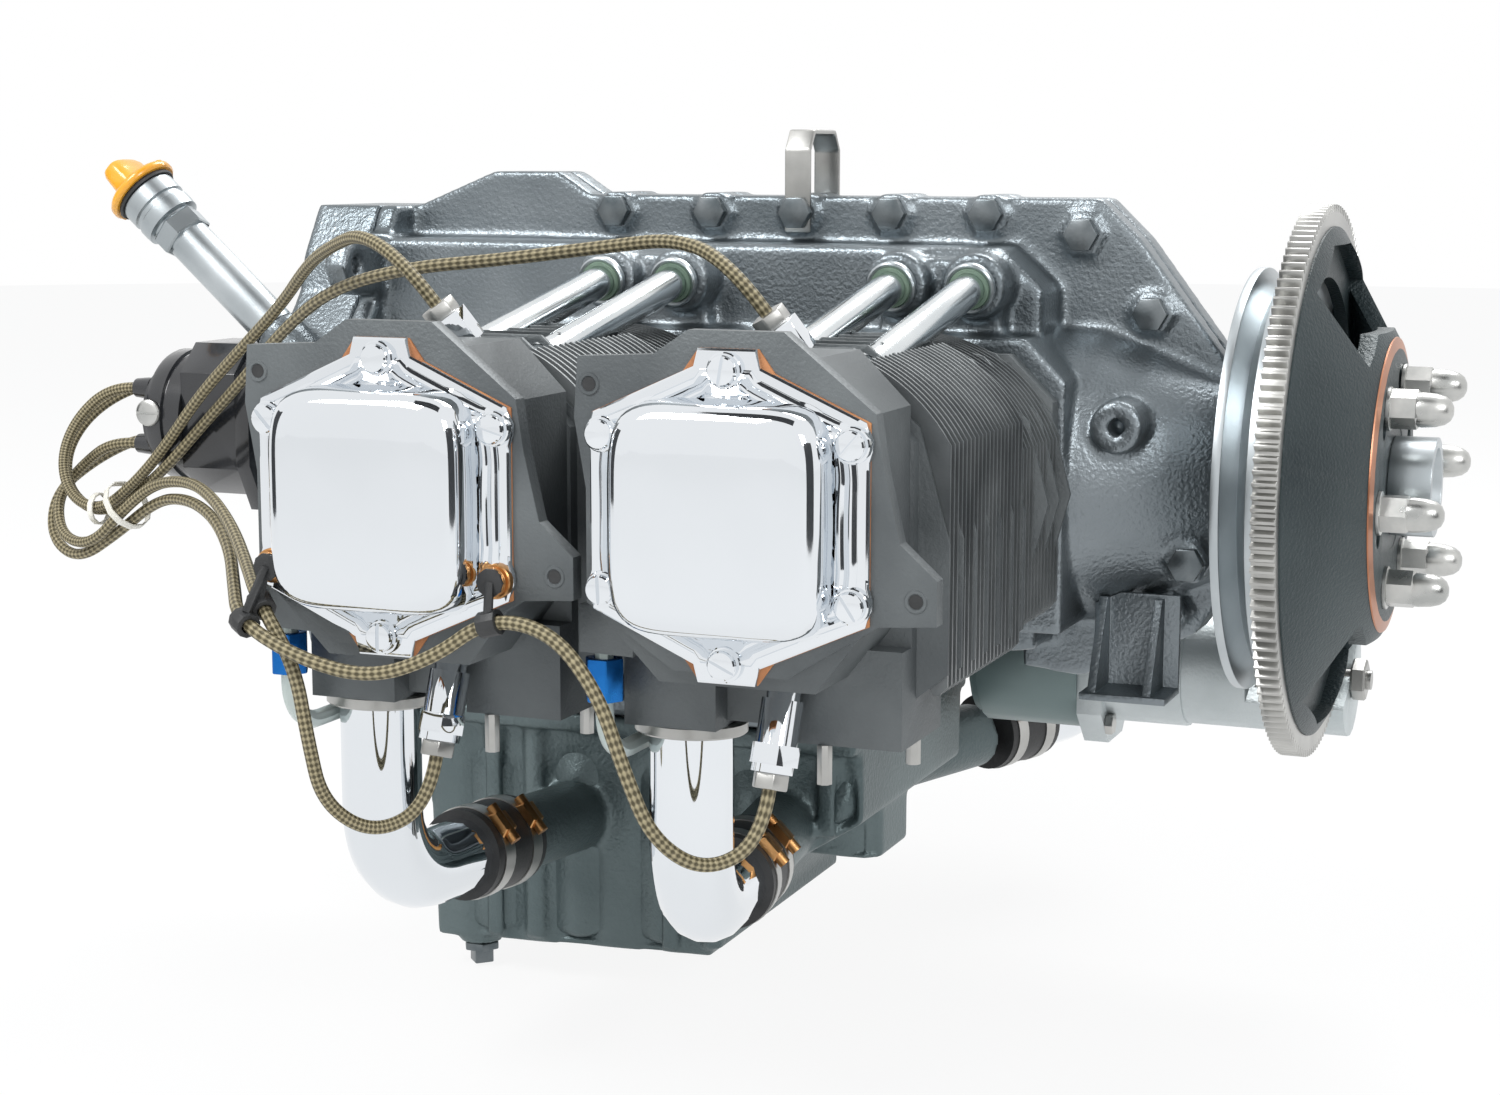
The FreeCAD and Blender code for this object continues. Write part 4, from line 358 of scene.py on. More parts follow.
def body_of(node):
    return nodes[node]["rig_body"]


def slot_of(node):
    return next(part["material_slot"] for part in frame["record"]["subparts"] if part["node"] == node)


def machined(node, material, width=0.5, angle=32):
    """A CAD node with its edges eased and its round faces shaded smooth."""
    bevel = ("BEVEL", {"width": width * MM, "segments": 2, "limit_method": "ANGLE",
                       "angle_limit": math.radians(angle), "use_clamp_overlap": True})
    mesh = applied(node + "_looks", copied(node), bevel)
    return show(node + "_looks", soften(mesh, angle), material, body_of(node), slot_of(node), node)


# The solid's crank chambers and cam tunnel break out beside the decks. These walls close them: outlines in
# |y| and z, each from one x to another.
CHAMBER_WALL = [(56, 82.7), (84.5, 54.2), (84.5, -54.2), (56, -82.7), (56, -90), (60, -88),
                (90, -57), (90, 57), (60, 88), (56, 90)]
CHAMBER_TOP = [(56, 82.7), (84.5, 54.2), (90, 57), (60, 88), (56, 90)]
CHAMBER_END = [(56, -90), (60, -88), (90, -57), (90, 57), (60, 88), (56, 90)]
CAM_CORNER = [(13, 123), (19.8, 123), (19.8, 143), (13, 143)]
FILLED = {
    "crankcase_right": [(CHAMBER_WALL, 106, 127), (CHAMBER_END, 104, 110.5), (CHAMBER_TOP, 104, 152),
                        (CHAMBER_WALL, 284, 310), (CHAMBER_TOP, 260, 335), (CAM_CORNER, 404, 430)],
    "crankcase_left": [(CHAMBER_WALL, 229, 255), (CHAMBER_TOP, 204, 280), (CHAMBER_WALL, 412, 430),
                       (CHAMBER_END, 428.5, 434), (CHAMBER_TOP, 388, 434), (CAM_CORNER, 404, 430)],
}


def fill(work, node):
    """Adds the walls that close a crankcase half to its mesh."""
    side = -1 if node == "crankcase_right" else 1
    for outline, start, stop in FILLED.get(node, ()):
        ends = [[work.verts.new(Vector((x, side * y, z)) * MM) for y, z in outline] for x in (start, stop)]
        faces = [work.faces.new(ends[0]), work.faces.new(reversed(ends[1]))]
        for i in range(len(outline)):
            j = (i + 1) % len(outline)
            faces.append(work.faces.new((ends[0][j], ends[0][i], ends[1][i], ends[1][j])))
        bmesh.ops.recalc_face_normals(work, faces=faces)


def cast(node, material, voxel=2.5, rounds=4, shape=None):
    """A CAD node as a casting: its skin is rebuilt in fine cells and worn smooth."""
    work = bmesh.new()
    work.from_mesh(nodes[node].data)
    bmesh.ops.remove_doubles(work, verts=work.verts, dist=WELD)
    fill(work, node)
    mesh = bpy.data.meshes.new(node)
    work.to_mesh(mesh)
    work.free()
    mesh = applied(node + "_looks", mesh, ("REMESH", {"mode": "VOXEL", "voxel_size": voxel * MM}),
                   ("SMOOTH", {"factor": 0.6, "iterations": rounds}))
    if shape:
        shape(mesh)
    for polygon in mesh.polygons:
        polygon.use_smooth = True
    return show(node + "_looks", mesh, material, body_of(node), slot_of(node), node)


# ---------------------------------------------------------------- the cylinders' frames

CYLINDER_X = {1: 388.6, 2: 333.6, 3: 205.5, 4: 150.5}


def bank(number):
    """A cylinder's frame: u along the engine, v up, w outward."""
    x = CYLINDER_X[number]
    if number % 2:
        return Matrix(((1, 0, 0, x), (0, 0, -1, 0), (0, 1, 0, 0), (0, 0, 0, 1)))
    return Matrix(((-1, 0, 0, x), (0, 0, 1, 0), (0, 1, 0, 0), (0, 0, 0, 1)))


# A rocker cover's middle height and seat, and its screws about that middle.
COVER_V, COVER_W = 19.2, 395.2
SCREWS = [(0, 69), (0, -69), (62.8, 37.1), (62.8, -37.1), (-62.8, 37.1), (-62.8, -37.1)]


def cover_edge(angle, inset=0.0):
    """Reach of the cover's outline at an angle: a stretched hexagon with bosses at the screws."""
    dx, dy = math.cos(angle), math.sin(angle)
    sides = [(1, 0, 70), (0.408, 0.913, 71.2)]
    facing = [(abs(dx) * a + abs(dy) * b, d) for a, b, d in sides]
    reach = min(d / share for share, d in facing if share > 1e-6) - inset
    ear = min((79 - inset) / max(abs(dy), 1e-6), (15.5 - inset * 0.4) / max(abs(dx), 1e-6))
    reach = max(reach, ear)
    for x, y in SCREWS:
        along = x * dx + y * dy
        off = abs(x * dy - y * dx)
        radius = 9.2 - inset * 0.35
        if along > 0 and off < radius:
            reach = max(reach, min(along + math.sqrt(radius ** 2 - off ** 2), 79 if x == 0 else 200))
    return reach


def dome_edge(angle, half_wide, half_tall, power=5.0):
    """Reach of a rounded rectangle from its centre at an angle."""
    dx, dy = abs(math.cos(angle)), abs(math.sin(angle))
    return ((dx / half_wide) ** power + (dy / half_tall) ** power) ** (-1 / power)


def cover_mesh():
    """A rocker cover: a flat flange, a rolled bead and a domed face, outlined at even angles."""
    steps = 120
    angles = [TAU * (i + 0.5) / steps for i in range(steps)]

    def ring(reach, height):
        return [(reach(a) * math.cos(a), reach(a) * math.sin(a) + COVER_V, COVER_W + height) for a in angles]

    rings = [ring(cover_edge, 0), ring(cover_edge, 2.2),
             ring(lambda a: cover_edge(a) - 1, 3.2)]
    blend = [(5, 3.2), (6.5, 5.4), (8, 6.0), (9.5, 5.2), (10.5, 3.6), (11.8, 5.0), (13.2, 5.8), (14.6, 5.0)]
    for inset, height in blend:
        wide, tall = 70 - inset * 0.9, 74 - inset * 0.9
        rings.append(ring(lambda a: min(cover_edge(a, inset), dome_edge(a, wide, tall, 3.4)), height))
    for wide, tall, height in ((56, 57.5, 3.4), (54.6, 56, 4.6), (54, 55.5, 9), (53.6, 55, 15),
                               (53, 54.4, 19.5), (51.6, 53, 23), (49, 50.4, 25.8), (45.5, 47, 27.4),
                               (40, 41.5, 28.3), (30, 31, 28.8), (15, 15.5, 29.0)):
        rings.append(ring(lambda a: dome_edge(a, wide, tall, 5.2), height))
    shape = Shape()
    shape.loft(rings, tip=(0, COVER_V, COVER_W + 29.0))
    return shape


def slotted(shape, place, radius=7.2, tall=3.6, slot=1.5):
    """A round screw head with a slot."""
    shape.lathe([(0, 0), (radius, 0), (radius, tall * 0.45), (radius - 0.4, tall * 0.55), (0, tall * 0.55)],
                place, 24)
    start = math.asin(slot / 2 / radius)
    for side in (1, -1):
        half = []
        for i in range(13):
            a = start + (math.pi - 2 * start) * i / 12
            half.append((radius * math.cos(a), side * radius * math.sin(a)))
        rings = [[(x * f, (y - side * slot / 2) * f + side * slot / 2, h) for x, y in half]
                 for f, h in ((0.97, tall * 0.5), (0.96, tall * 0.7), (0.86, tall * 0.9), (0.6, tall))]
        shape.loft(rings, place)


def make_covers():
    for number in CYLINDER_X:
        shape = cover_mesh()
        bmesh.ops.transform(shape.work, matrix=bank(number), verts=shape.work.verts)
        show(f"cover_{number}", shape.mesh("cover", 40), CHROME, "engine_case", "chrome_plate",
             f"rocker_cover_{number}")
    for name, material, chosen in (("cover_screw_heads", CHROME, False), ("clamp_screw_heads", BRASS, True)):
        shape = Shape()
        for number in CYLINDER_X:
            for i, (u, v) in enumerate(SCREWS):
                brass = number == 3 and v < 0 and abs(v) < 40
                if brass == chosen:
                    spin = Matrix.Rotation(0.4 + 1.3 * i + number, 4, "Z")
                    at = bank(number) @ Matrix.Translation((u, v + COVER_V, COVER_W)) @ spin
                    shape.lathe([(9.0, 2.5), (8.8, 5.6), (8.2, 6.2), (0, 6.2)][::-1] + [(0, 2.5)], at, 24)
                    slotted(shape, at @ Matrix.Translation((0, 0, 6.2)), 7.4, 4.2, 1.9)
        show(name, shape.mesh(name), material, "engine_case", "chrome_plate", "cover_screws")


# The pushrod tubes' ends as (height, distance out), and how far each stands from the cylinder's middle.
TUBE_HIGH, TUBE_LOW, TUBE_SPREAD = (113, 88), (66, 338), 23.5


def tube_height(w):
    """Height of the pushrod tubes' line over the cylinder's axis."""
    fall = TUBE_LOW[0] - TUBE_HIGH[0]
    return TUBE_HIGH[0] + fall * (w - TUBE_HIGH[1]) / (TUBE_LOW[1] - TUBE_HIGH[1])


def fin_outline(w, top, side, low):
    """A fin's outline: an arc above, flat flanks, and room for the two pushrod tubes."""
    points = []
    count = 44
    for i in range(count + 1):
        u = -side + 2 * side * i / count
        v = math.sqrt(max(top ** 2 - u ** 2, 0)) if abs(u) < top else 0
        if abs(u) < 35:
            v = min(v, tube_height(w) - 11)
        points.append((u, v))
    for i in range(count + 1):
        u = side - 2 * side * i / count
        reach = 4 + (side + u) * 0.10
        v = -min(math.sqrt(max((low + 14) ** 2 - u ** 2, 0)), low - reach)
        points.append((u, v))
    return points


def make_ears():
    """Bored ears at two corners of each head's flange; each bore is a solid black plug, painted shade for the
    hole.
    """
    painted_bore_shade, lips = Shape(), Shape()
    for number in CYLINDER_X:
        for u, v in ((-72, COVER_V + 60), (92, COVER_V - 34)):
            at = bank(number) @ Matrix.Translation((u, v, 394))
            # Each bore is a solid black plug just proud of the flange: painted shade where the hole would be
            # dark.
            painted_bore_shade.lathe([(0, -6), (3.4, -6), (3.4, 0.15), (0, 0.15)], at, 20)
            lips.ring([(3.5, 0), (5.6, 0), (5.2, 0.6), (3.9, 0.6)], at, 24)
    # The bores' black is painted shade, not rubber.
    show("ear_bores_painted_shade", painted_bore_shade.mesh("painted_bore_shade"), RUBBER, "engine_case", "head_paint")
    show("ear_lips", lips.mesh("lips"), HEAD, "engine_case", "head_paint")


# Distances out from the crankshaft: the first fin, where the head starts, where its ports start.
FIRST_FIN, HEAD_START, PORT_START = 110, 184, 280
FIN_COUNT, FIN_PITCH, FIN_HALF = 32, 6.6, 0.9


def make_fins():
    for number in CYLINDER_X:
        shape = Shape()
        for k in range(FIN_COUNT):
            w = FIRST_FIN + k * FIN_PITCH
            outline = fin_outline(w, 88, 82, 88) if w < HEAD_START else fin_outline(w, 96, 83, 95)
            if w > PORT_START:
                outline = [(u, max(v, -60) if -85 < u < -25 or 12 < u < 74 else v) for u, v in outline]
            shape.prism(outline, w - FIN_HALF, w + FIN_HALF, bank(number))
        show(f"fins_{number}", shape.mesh("fins", 50), FIN, "engine_case", "head_paint")
        machined(f"cylinder_{number}", HEAD, 1.2)


def make_tubes():
    tubes, seals, collars = Shape(), Shape(), Shape()
    for number in CYLINDER_X:
        for u in (-TUBE_SPREAD, TUBE_SPREAD):
            high = bank(number) @ Vector((u, *TUBE_HIGH))
            low = bank(number) @ Vector((u, *TUBE_LOW))
            length = (low - high).length
            at = aim(high, low)
            tubes.lathe([(0, 2), (9.5, 2), (9.5, length - 14), (0, length - 14)], at, 32)
            seals.ring([(9.6, 3), (9.6, 8.5), (11.6, 9), (12.0, 6)], at, 32)
            collars.ring([(12.1, 3), (12.1, 7.2), (13.6, 7.6), (14.6, 6.6), (14.6, 3)], at, 32)
    show("tubes", tubes.mesh("tubes"), POLISHED, "engine_case", "tube_alloy", "pushrod_tubes")
    show("seals", seals.mesh("seals"), SEAL, "engine_case", "seal_rubber", "tube_seals")
    show("seal_collars", collars.mesh("collars"), SATIN, "engine_case", "tube_alloy")


# ---------------------------------------------------------------- castings

# The sump's flutes, in metres: where they end at the top, how far out they go, their pitch and depth.
FLUTE_TOP, FLUTE_OUT, FLUTE_PITCH, FLUTE_DEPTH = -0.172, 0.103, 0.058, 0.0075


def flute(mesh):
    """Soft upright flutes in the sump's sides, pressed inward."""
    normals = [vertex.normal.copy() for vertex in mesh.vertices]
    for vertex, normal in zip(mesh.vertices, normals):
        x, y, z = vertex.co
        if z > FLUTE_TOP or abs(y) > FLUTE_OUT:
            continue
        fade = min(1, (FLUTE_TOP - z) / 0.02)
        wave = (0.5 - 0.5 * math.cos(TAU * (x - 0.02) / FLUTE_PITCH)) ** 1.5
        vertex.co = vertex.co - normal * (FLUTE_DEPTH * fade * normal.y ** 2 * wave)


def make_castings():
    for node in ("crankcase_right", "crankcase_left"):
        cast(node, CAST, 2.4, 5)
    cast("accessory_housing", CAST, 2.2, 4)
    cast("oil_sump", SUMP, 2.4, 5, flute)
    machined("alternator_bracket", CAST, 1.0)
    machined("lifting_eye", STEEL, 1.5)
    machined("case_bolts", DARK_BOLT, 0.8)
    machined("base_nuts", STEEL, 0.5)
    machined("cover_gaskets", GASKET, 0.1)
    machined("drain_plug", DARK_BOLT, 0.8)
    machined("exhaust_studs", STEEL, 0.2)


# ---------------------------------------------------------------- front: ring gear, cone, hub

NUT_CIRCLE_R, NUT_SEAT_X = 60.3, 639.2


def make_front():
    machined("ring_gear", STEEL, 0.15, 25)
    machined("drive_pulley", SATIN, 0.4)
    machined("gear_support", CONE, 0.6, 28)
    machined("crankshaft", SATIN, 0.4)
    rims, nuts, web = Shape(), Shape(), Shape()
    web.ring([(118, 590), (146.6, 590), (146.6, 597), (118, 597)], on_axis(0, 0, 0), 96)
    show("ring_web", web.mesh("web"), CONE, "crank_assembly", "dark_cone")
    rims.ring([(78.2, 638.9), (84.6, 637.4), (85.0, 636.6), (78.2, 638.4)], on_axis(0, 0, 0), 96)
    for k in range(6):
        turn = math.radians(8 + 60 * k)
        y, z = NUT_CIRCLE_R * math.cos(turn), NUT_CIRCLE_R * math.sin(turn)
        at = on_axis(NUT_SEAT_X, y, z, k * 0.7)
        nuts.prism(hex_ring(11.2), 0, 17, at, 1.2)
        nuts.lathe([(9.6, 16), (9.9, 19), (9.3, 26), (7.9, 31), (5.6, 34), (2.6, 35.4), (0, 35.6)], at, 24)
        nuts.lathe([(12.4, 0), (12.4, 1.6), (11.6, 2)], at, 24)
    show("prop_seat_rim", rims.mesh("rim"), COPPER, "crank_assembly", "dark_cone")
    show("domed_nuts", nuts.mesh("nuts"), ZINC, "crank_assembly", "zinc_steel", "prop_nuts")


# ---------------------------------------------------------------- rear: magnetos, filler

# The filler tube's foot and the way it leans; the magnetos' height and distance from the middle.
FILLER = Vector((-42, -100, 77))
LEAN = math.radians(48.2)
WAY = Vector((-math.sin(LEAN), 0, math.cos(LEAN)))
MAGNETO_Y, MAGNETO_Z = 88, 19


def make_rear():
    for side, name in ((-1, "right"), (1, "left")):
        machined(f"magneto_{name}", GLOSS_BLACK, 1.5)
        at = aim((-96, side * MAGNETO_Y, MAGNETO_Z), (-97, side * MAGNETO_Y, MAGNETO_Z))
        cap = Shape()
        cap.lathe([(0, 0), (43, 0), (43, 9), (41.2, 10), (41.2, 13), (43, 14), (43, 23), (42, 25.5), (38, 28),
                   (34, 29), (33, 34), (30, 35.8), (0, 36)], at, 48)
        for y in (-18, 18):
            for z in (-18, 18):
                cap.lathe([(7.2, 35), (6.9, 40), (6.2, 47), (5.6, 47.7), (0, 47.7)],
                          at @ Matrix.Translation((y, z, 0)), 20)
        screw = Shape()
        seat, beyond = ((-118, side * (MAGNETO_Y + out), 24) for out in (42.6, 50))
        slotted(screw, aim(seat, beyond), 8.5, 3.2, 1.6)
        show(f"cap_screw_{name}", screw.mesh("screw"), ZINC, "engine_case", "zinc_steel")
        show(f"cap_{name}", cap.mesh("cap"), GLOSS_BLACK, "engine_case", "black_gloss", f"magneto_cap_{name}")
    at = aim(FILLER, FILLER + WAY)
    tube = Shape()
    tube.lathe([(14, 0), (14, 84), (15.2, 85)], at, 40)
    tube.prism(hex_ring(17.6, 0.3), 84, 97, at, 1.0)
    tube.lathe([(14, 96), (15.5, 98), (18.6, 99), (19, 103), (19, 108), (17.6, 109), (17.6, 112), (19, 113),
                (19, 123.6), (17, 124)], at, 40)
    show("filler_pipe", tube.mesh("filler"), SATIN, "engine_case", "tube_alloy", "filler_tube")
    cap, ring = Shape(), Shape()
    ring.ring([(14, 124.2), (20.5, 124.2), (21, 125.5), (20.5, 127), (14, 127)], at, 40)
    cap.lathe([(16, 127), (22.5, 127), (23.8, 128.4), (23.8, 131), (22.4, 132.6), (12, 133.4),
               (0, 133.5)], at, 40)
    for side in (1, -1):
        cap.lathe([(0, 127.4), (5, 127.4), (5.4, 129), (5.2, 132), (4.2, 133), (0, 133.2)],
                  at @ Matrix.Translation((0, side * 18.6, 0)), 16)
    rings = []
    for wide, deep, height in ((18.5, 10.5, 132.5), (17.4, 9.4, 135), (16.8, 8.6, 143), (16.2, 8.2, 148),
                               (14.6, 7.0, 151), (10, 4.6, 152)):
        rings.append([(wide * math.copysign(abs(math.cos(t)) ** 0.62, math.cos(t)),
                       deep * math.copysign(abs(math.sin(t)) ** 0.62, math.sin(t)), height)
                      for t in (TAU * (i + 0.5) / 32 for i in range(32))])
    cap.loft(rings, at)
    show("filler_grip", cap.mesh("grip", 45), YELLOW, "filler_cap_body", "filler_yellow", "filler_cap")
    show("filler_gasket", ring.mesh("gasket"), RUBBER, "filler_cap_body", "hose_rubber")


# ---------------------------------------------------------------- pipes, hoses and leads

def round_curve(name, radius, material):
    """An empty curve that draws a round bar along its splines."""
    curve = bpy.data.curves.new(name, "CURVE")
    curve.dimensions = "3D"
    curve.bevel_depth = radius * MM
    curve.bevel_resolution = 6
    curve.use_fill_caps = True
    curve.resolution_u = 16
    curve.materials.append(material)
    return curve


def bent(curve, points, bend):
    """A rigid pipe's line: straight runs joined by bends, as Bezier handles."""
    points = [Vector(p) * MM for p in points]
    bend *= MM
    stations = [(points[0], (points[1] - points[0]) / 3, (points[1] - points[0]) / 3)]
    for before, corner, after in zip(points, points[1:], points[2:]):
        into, out = (corner - before).normalized(), (after - corner).normalized()
        turn = into.angle(out)
        cut = bend * math.tan(turn / 2)
        pull = 4 / 3 * math.tan(turn / 4) * bend
        stations.append((corner - into * cut, into * cut, into * pull))
        stations.append((corner + out * cut, out * pull, out * cut))
    stations.append((points[-1], (points[-1] - points[-2]) / 3, (points[-1] - points[-2]) / 3))
    spline = curve.splines.new("BEZIER")
    spline.bezier_points.add(len(stations) - 1)
    for knot, (at, back_pull, front_pull) in zip(spline.bezier_points, stations):
        knot.co = at
        knot.handle_left_type = knot.handle_right_type = "FREE"
        knot.handle_left = at - back_pull
        knot.handle_right = at + front_pull


# The intake pipes' radius and bend, where each leaves its head, and the sump's spigot that it points to.
INTAKE_R, INTAKE_BEND, INTAKE_PORT, INTAKE_LOW = 22, 45, (-57, -99, 306), -207
SPIGOT = {1: (300, -96, -212), 2: (305, 96, -212), 3: (165, -96, -218), 4: (190, 96, -218)}


def make_pipes():
    chrome = round_curve("intake_runs", INTAKE_R, CHROME)
    flanges, hoses, bands, worms = Shape(), Shape(), Shape(), Shape()
    for number in CYLINDER_X:
        port = bank(number) @ Vector(INTAKE_PORT)
        bend = Vector((port.x, port.y, INTAKE_LOW))
        base = Vector(SPIGOT[number])
        inward = (base - bend).normalized()
        end = bend + inward * 100
        bent(chrome, [port - Vector((0, 0, 1)), bend, end], INTAKE_BEND)
        at = aim(port, port - Vector((0, 0, 1)))
        oval = [(30 * math.cos(t), 25 * math.sin(t)) for t in (TAU * i / 32 for i in range(32))]
        flanges.prism(oval, 0.2, 7, at, 1)
        at = aim(end + inward * -23, end)
        hoses.lathe([(22.2, 0), (26.4, 0), (26.6, 2), (26.6, 50), (26.4, 52), (22.2, 52)], at, 40)
        for run in (6, 36):
            bands.ring([(26.7, run), (27.4, run), (27.4, run + 10), (26.7, run + 10)], at, 40)
            turned = Matrix.Rotation(2.4 if number % 2 else 0.8, 4, "Z")
            seat = at @ turned @ Matrix.Translation((29, 0, run + 5))
            worms.prism([(-2.5, -8), (3, -6), (3, 6), (-2.5, 8)], -5.5, 5.5, seat, 0.8)
            worms.lathe([(0, -13), (3.4, -13), (3.4, 12), (0, 12)],
                        seat @ Matrix.Rotation(math.pi / 2, 4, "X"), 12)
    runs = bpy.data.objects.new("intake_runs", chrome)
    scene.collection.objects.link(runs)
    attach(runs, "engine_case")
    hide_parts("intake_pipes")
    show("intake_flanges", flanges.mesh("flanges"), STEEL, "engine_case", "zinc_steel")
    show("hoses", hoses.mesh("hoses"), RUBBER, "engine_case", "hose_rubber", "intake_hoses")
    show("hose_bands", bands.mesh("bands"), STEEL, "engine_case", "zinc_steel", "hose_clamps")
    show("hose_worms", worms.mesh("worms"), BRASS, "engine_case", "zinc_steel")
    machined("oil_return_tubes", PIPE_GREY, 0.2)
    machined("return_nuts", BLUE, 0.8)


# The leads' routes from the magneto's cap, as the part has them; the last two points follow from the plug.
LEADS = {
    "lead_3_top": [
        (-143.7, -106, 37), (-164, -106, 37), (-186, -114, 16), (-194, -121, -10), (-185, -125, -34),
        (-160, -127, -42), (-132, -128, -22), (-104, -133, 4), (-70, -145, 38), (-28, -160, 70),
        (24, -196, 100), (72, -244, 126), (112, -284, 138), (150, -318, 146)],
    "lead_1_top": [
        (-143.7, -70, 37), (-164, -70, 37), (-190, -90, 20), (-200, -108, -6), (-193, -116, -32),
        (-168, -118, -46), (-138, -119, -30), (-108, -130, -12), (-74, -134, 20), (-34, -150, 50),
        (20, -190, 84), (84, -240, 112), (150, -272, 126), (215, -284, 132), (280, -300, 140),
        (333, -318, 146)],
    "lead_3_bottom": [
        (-143.7, -106, 1), (-164, -106, 1), (-190, -100, -14), (-208, -108, -36), (-196, -122, -61),
        (-164, -133, -64), (-134, -139, -38), (-104, -146, -18), (-60, -172, -12), (-10, -222, -14),
        (48, -290, -20), (98, -354, -28), (138, -407, -34), (160, -409, -66), (166, -408, -104),
        (170, -402, -138), (190, -386, -156)],
    "lead_1_bottom": [
        (-143.7, -70, 1), (-166, -70, 1), (-196, -80, -14), (-218, -96, -36), (-212, -111, -64),
        (-183, -122, -76), (-148, -128, -56), (-108, -138, -30), (-66, -166, -24), (-14, -216, -26),
        (44, -288, -32), (92, -358, -38), (132, -416, -44), (168, -419, -60), (206, -415, -68),
        (240, -411, -56), (270, -410, -34), (304, -411, -38), (328, -411, -66), (340, -409, -102),
        (352, -402, -138), (373, -386, -156)],
}
# Each plug's seat and tip in its cylinder's frame, and the leads' radius in mm.
PLUGS = {"top": ((8, 82, 312), (-10, 110, 322)), "bottom": ((12, -50, 343), (8, -118, 362))}
LEAD_R = 3.5


def make_leads():
    for name, points in LEADS.items():
        number, end = int(name[5]), name[7:]
        seat, tip = (Vector(p) for p in PLUGS[end])
        way = (tip - seat).normalized()
        points = [Vector(p) for p in points] + [bank(number) @ (tip + way * run) for run in (26, 0)]
        curve = round_curve(name, LEAD_R, BRAID)
        spline = curve.splines.new("NURBS")
        spline.points.add(len(points) - 1)
        for knot, point in zip(spline.points, points):
            knot.co = (*(point * MM), 1)
        spline.order_u = 3
        spline.use_endpoint_u = True
        lead = bpy.data.objects.new(name + "_braided", curve)
        scene.collection.objects.link(lead)
        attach(lead, "engine_case")
        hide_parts(name)
    machined("lead_nuts", STEEL, 0.8)
    machined("spark_plugs", CHROME, 0.6)
    machined("lead_clamps", RUBBER, 0.5)
    machined("lead_ties", NYLON, 0.4)


# The starter's axis.
STARTER_Y, STARTER_Z = 100, -135


def make_starter():
    machined("starter_motor", MOTOR, 1.5)
    machined("starter_housing", PALE_CAST, 2.0)
    bolts, fitting = Shape(), Shape()
    for y, z in ((-26, 36), (-26, -36), (26, 36), (26, -36)):
        bolts.prism(hex_ring(7), 0, 5, on_axis(456.2, STARTER_Y + y, STARTER_Z + z), 0.6)
    bolts.prism(hex_ring(13), 0, 9, on_axis(605.2, STARTER_Y, STARTER_Z, 0.4), 1.2)
    fitting.prism(hex_ring(7), 0, 7, aim((486, 72, -106), (486, 58, -92)), 0.6)
    show("starter_bolts", bolts.mesh("bolts"), STEEL, "engine_case", "zinc_steel")
    show("starter_fitting", fitting.mesh("fitting"), BRASS, "engine_case", "zinc_steel")


def dress_inside():
    """The CAD nodes whose shape stays as it is get their finish."""
    steel = ("camshaft", "crank_gear", "idler_right", "idler_left", "rotor_right", "rotor_left", "dipstick",
             "starter_pinion")
    alloy = ("piston_1", "piston_2", "piston_3", "piston_4")
    for material, names in ((STEEL, steel), (PISTON, alloy)):
        for node in names:
            for slot in nodes[node].material_slots:
                slot.material = material


# ---------------------------------------------------------------- stage

def shows_background(tree, path, socket):
    """Feeds a socket with 1 where the camera, a polished surface or a clear one looks at the background."""
    seen = path.outputs["Is Camera Ray"]
    for kind in ("Is Glossy Ray", "Is Transmission Ray"):
        either = tree.nodes.new("ShaderNodeMath")
        either.operation = "MAXIMUM"
        tree.links.new(seen, either.inputs[0])
        tree.links.new(path.outputs[kind], either.inputs[1])
        seen = either.outputs[0]
    tree.links.new(seen, socket)


FLOOR_GAP, FLOOR_R, FLOOR_GLOW = 0.002, 9, 0.9
LAMPS = {"key": ((-0.9, -2.0, 2.4), (0.25, 0, 0), 1.2, 70),
         "fill": ((2.6, -2.0, 1.4), (0.4, 0, 0), 1.0, 34),
         "rim": ((0.6, 1.8, 2.4), (0.25, 0, 0), 1.4, 60)}
# Dark cards that only polished metal shows: place, width and height.
CARDS = {"card_front": ((2.4, -1.2, 0.1), 1.6, 1.6),
         "card_side": ((-2.2, -0.9, 0.0), 1.2, 1.6),
         "card_top": ((0.3, -0.9, 2.0), 1.5, 1.0)}


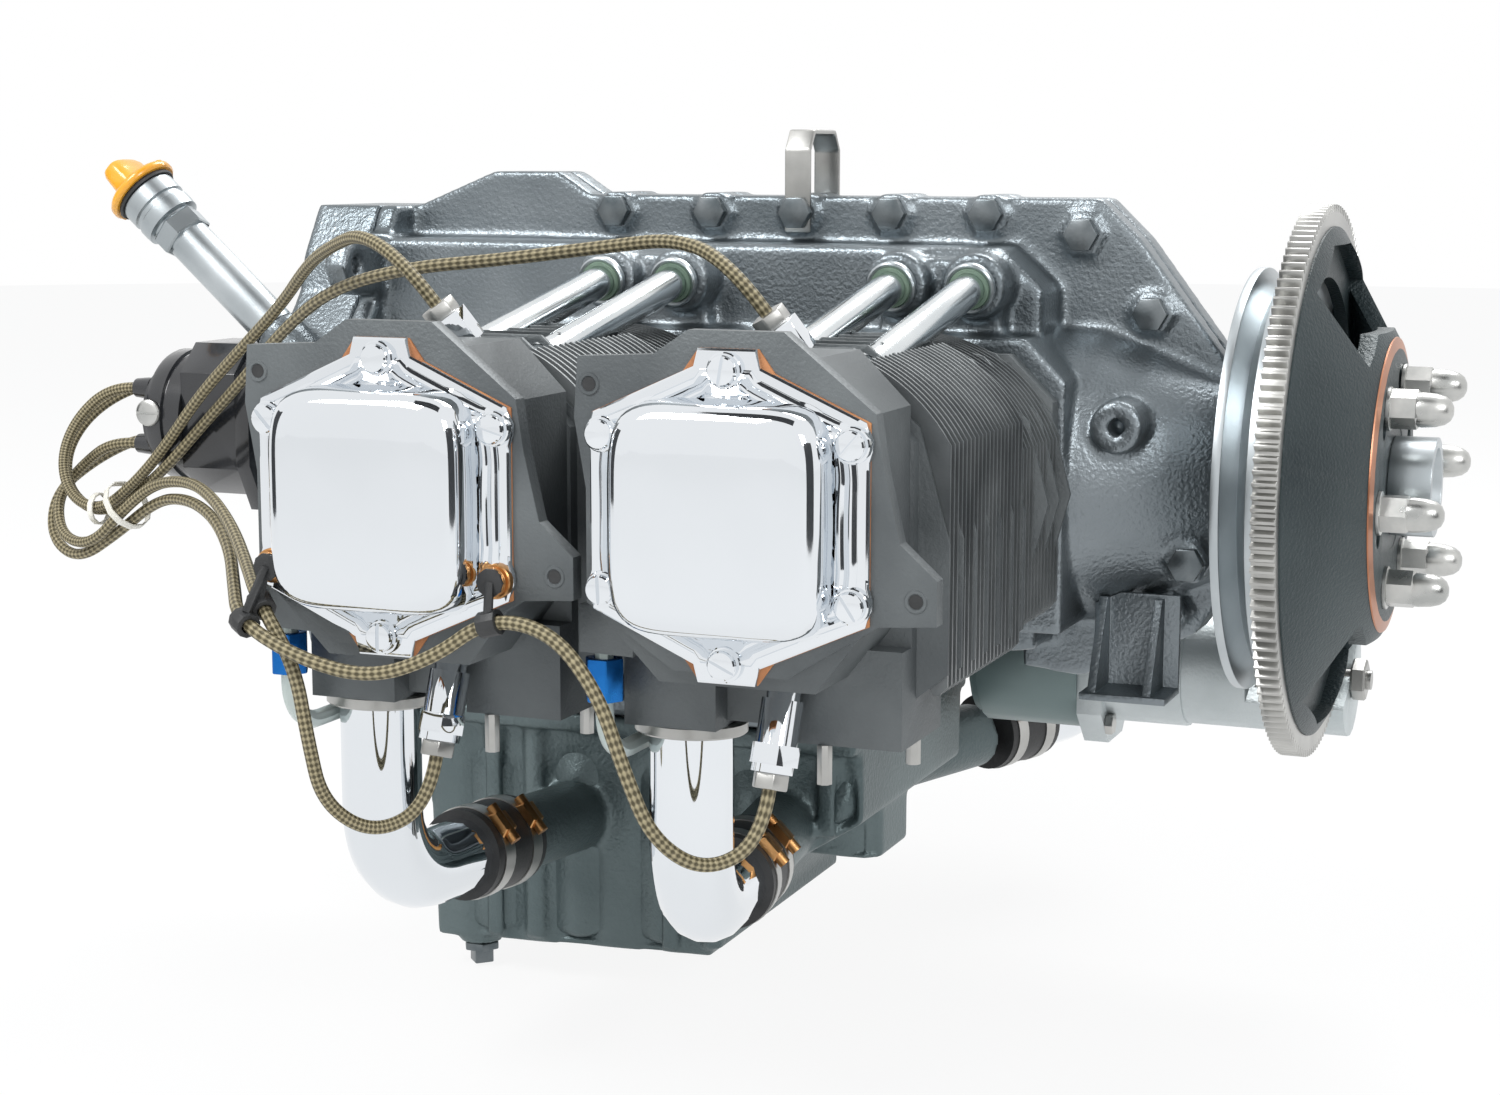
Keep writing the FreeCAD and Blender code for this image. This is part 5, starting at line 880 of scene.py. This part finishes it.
def make_stage():
    floor_z = cad_box[0][2] - FLOOR_GAP
    material, tree, shader = new_material("floor")
    shader.inputs["Base Color"].default_value = (0.86, 0.86, 0.86, 1)
    shader.inputs["Roughness"].default_value = 0.9
    glow, blend = tree.nodes.new("ShaderNodeEmission"), tree.nodes.new("ShaderNodeMixShader")
    seen, share = tree.nodes.new("ShaderNodeLightPath"), tree.nodes.new("ShaderNodeMath")
    share.operation = "MULTIPLY"
    share.inputs[1].default_value = FLOOR_GLOW
    shows_background(tree, seen, share.inputs[0])
    tree.links.new(share.outputs[0], blend.inputs["Fac"])
    tree.links.new(shader.outputs[0], blend.inputs[1])
    tree.links.new(glow.outputs[0], blend.inputs[2])
    tree.links.new(blend.outputs[0], tree.nodes["Material Output"].inputs["Surface"])
    bpy.ops.mesh.primitive_circle_add(vertices=64, radius=FLOOR_R, fill_type="NGON",
                                      location=(0.3, 0, floor_z))
    floor = bpy.context.object
    floor.name = "floor"
    floor.data.materials.append(material)
    world = bpy.data.worlds.new("world")
    scene.world = world
    world.use_nodes = True
    tree = world.node_tree
    tree.nodes.clear()
    add, link = tree.nodes.new, tree.links.new
    soft, white = add("ShaderNodeBackground"), add("ShaderNodeBackground")
    mix, out = add("ShaderNodeMixShader"), add("ShaderNodeOutputWorld")
    soft.inputs["Color"].default_value = (0.62, 0.64, 0.66, 1)
    soft.inputs["Strength"].default_value = 0.9
    white.inputs["Color"].default_value = (1, 1, 1, 1)
    shows_background(tree, add("ShaderNodeLightPath"), mix.inputs["Fac"])
    link(soft.outputs[0], mix.inputs[1])
    link(white.outputs[0], mix.inputs[2])
    link(mix.outputs[0], out.inputs["Surface"])
    for name, (at, target, wide, power) in LAMPS.items():
        light = bpy.data.lights.new(name, "AREA")
        light.energy = power
        light.size = wide
        lamp = bpy.data.objects.new(name, light)
        lamp.location = at
        lamp.rotation_mode = "QUATERNION"
        lamp.rotation_quaternion = (Vector(target) - Vector(at)).to_track_quat("-Z", "Y")
        scene.collection.objects.link(lamp)
    dark, tree, shader = new_material("dark_card")
    shader.inputs["Base Color"].default_value = (0.02, 0.022, 0.025, 1)
    for name, (at, wide, tall) in CARDS.items():
        bpy.ops.mesh.primitive_plane_add(size=1, location=at)
        card = bpy.context.object
        card.name = name
        card.rotation_mode = "QUATERNION"
        card.rotation_quaternion = (Vector((0.25, -0.3, 0)) - Vector(at)).to_track_quat("Z", "Y")
        card.scale = (wide, tall, 1)
        card.data.materials.append(dark)
        card.visible_camera = False
        card.visible_diffuse = False
        card.visible_shadow = False


make_leads()
make_castings()
make_fins()
make_ears()
make_covers()
make_tubes()
make_front()
make_rear()
make_pipes()
make_starter()
dress_inside()
make_stage()
scene.view_settings.view_transform = "Standard"
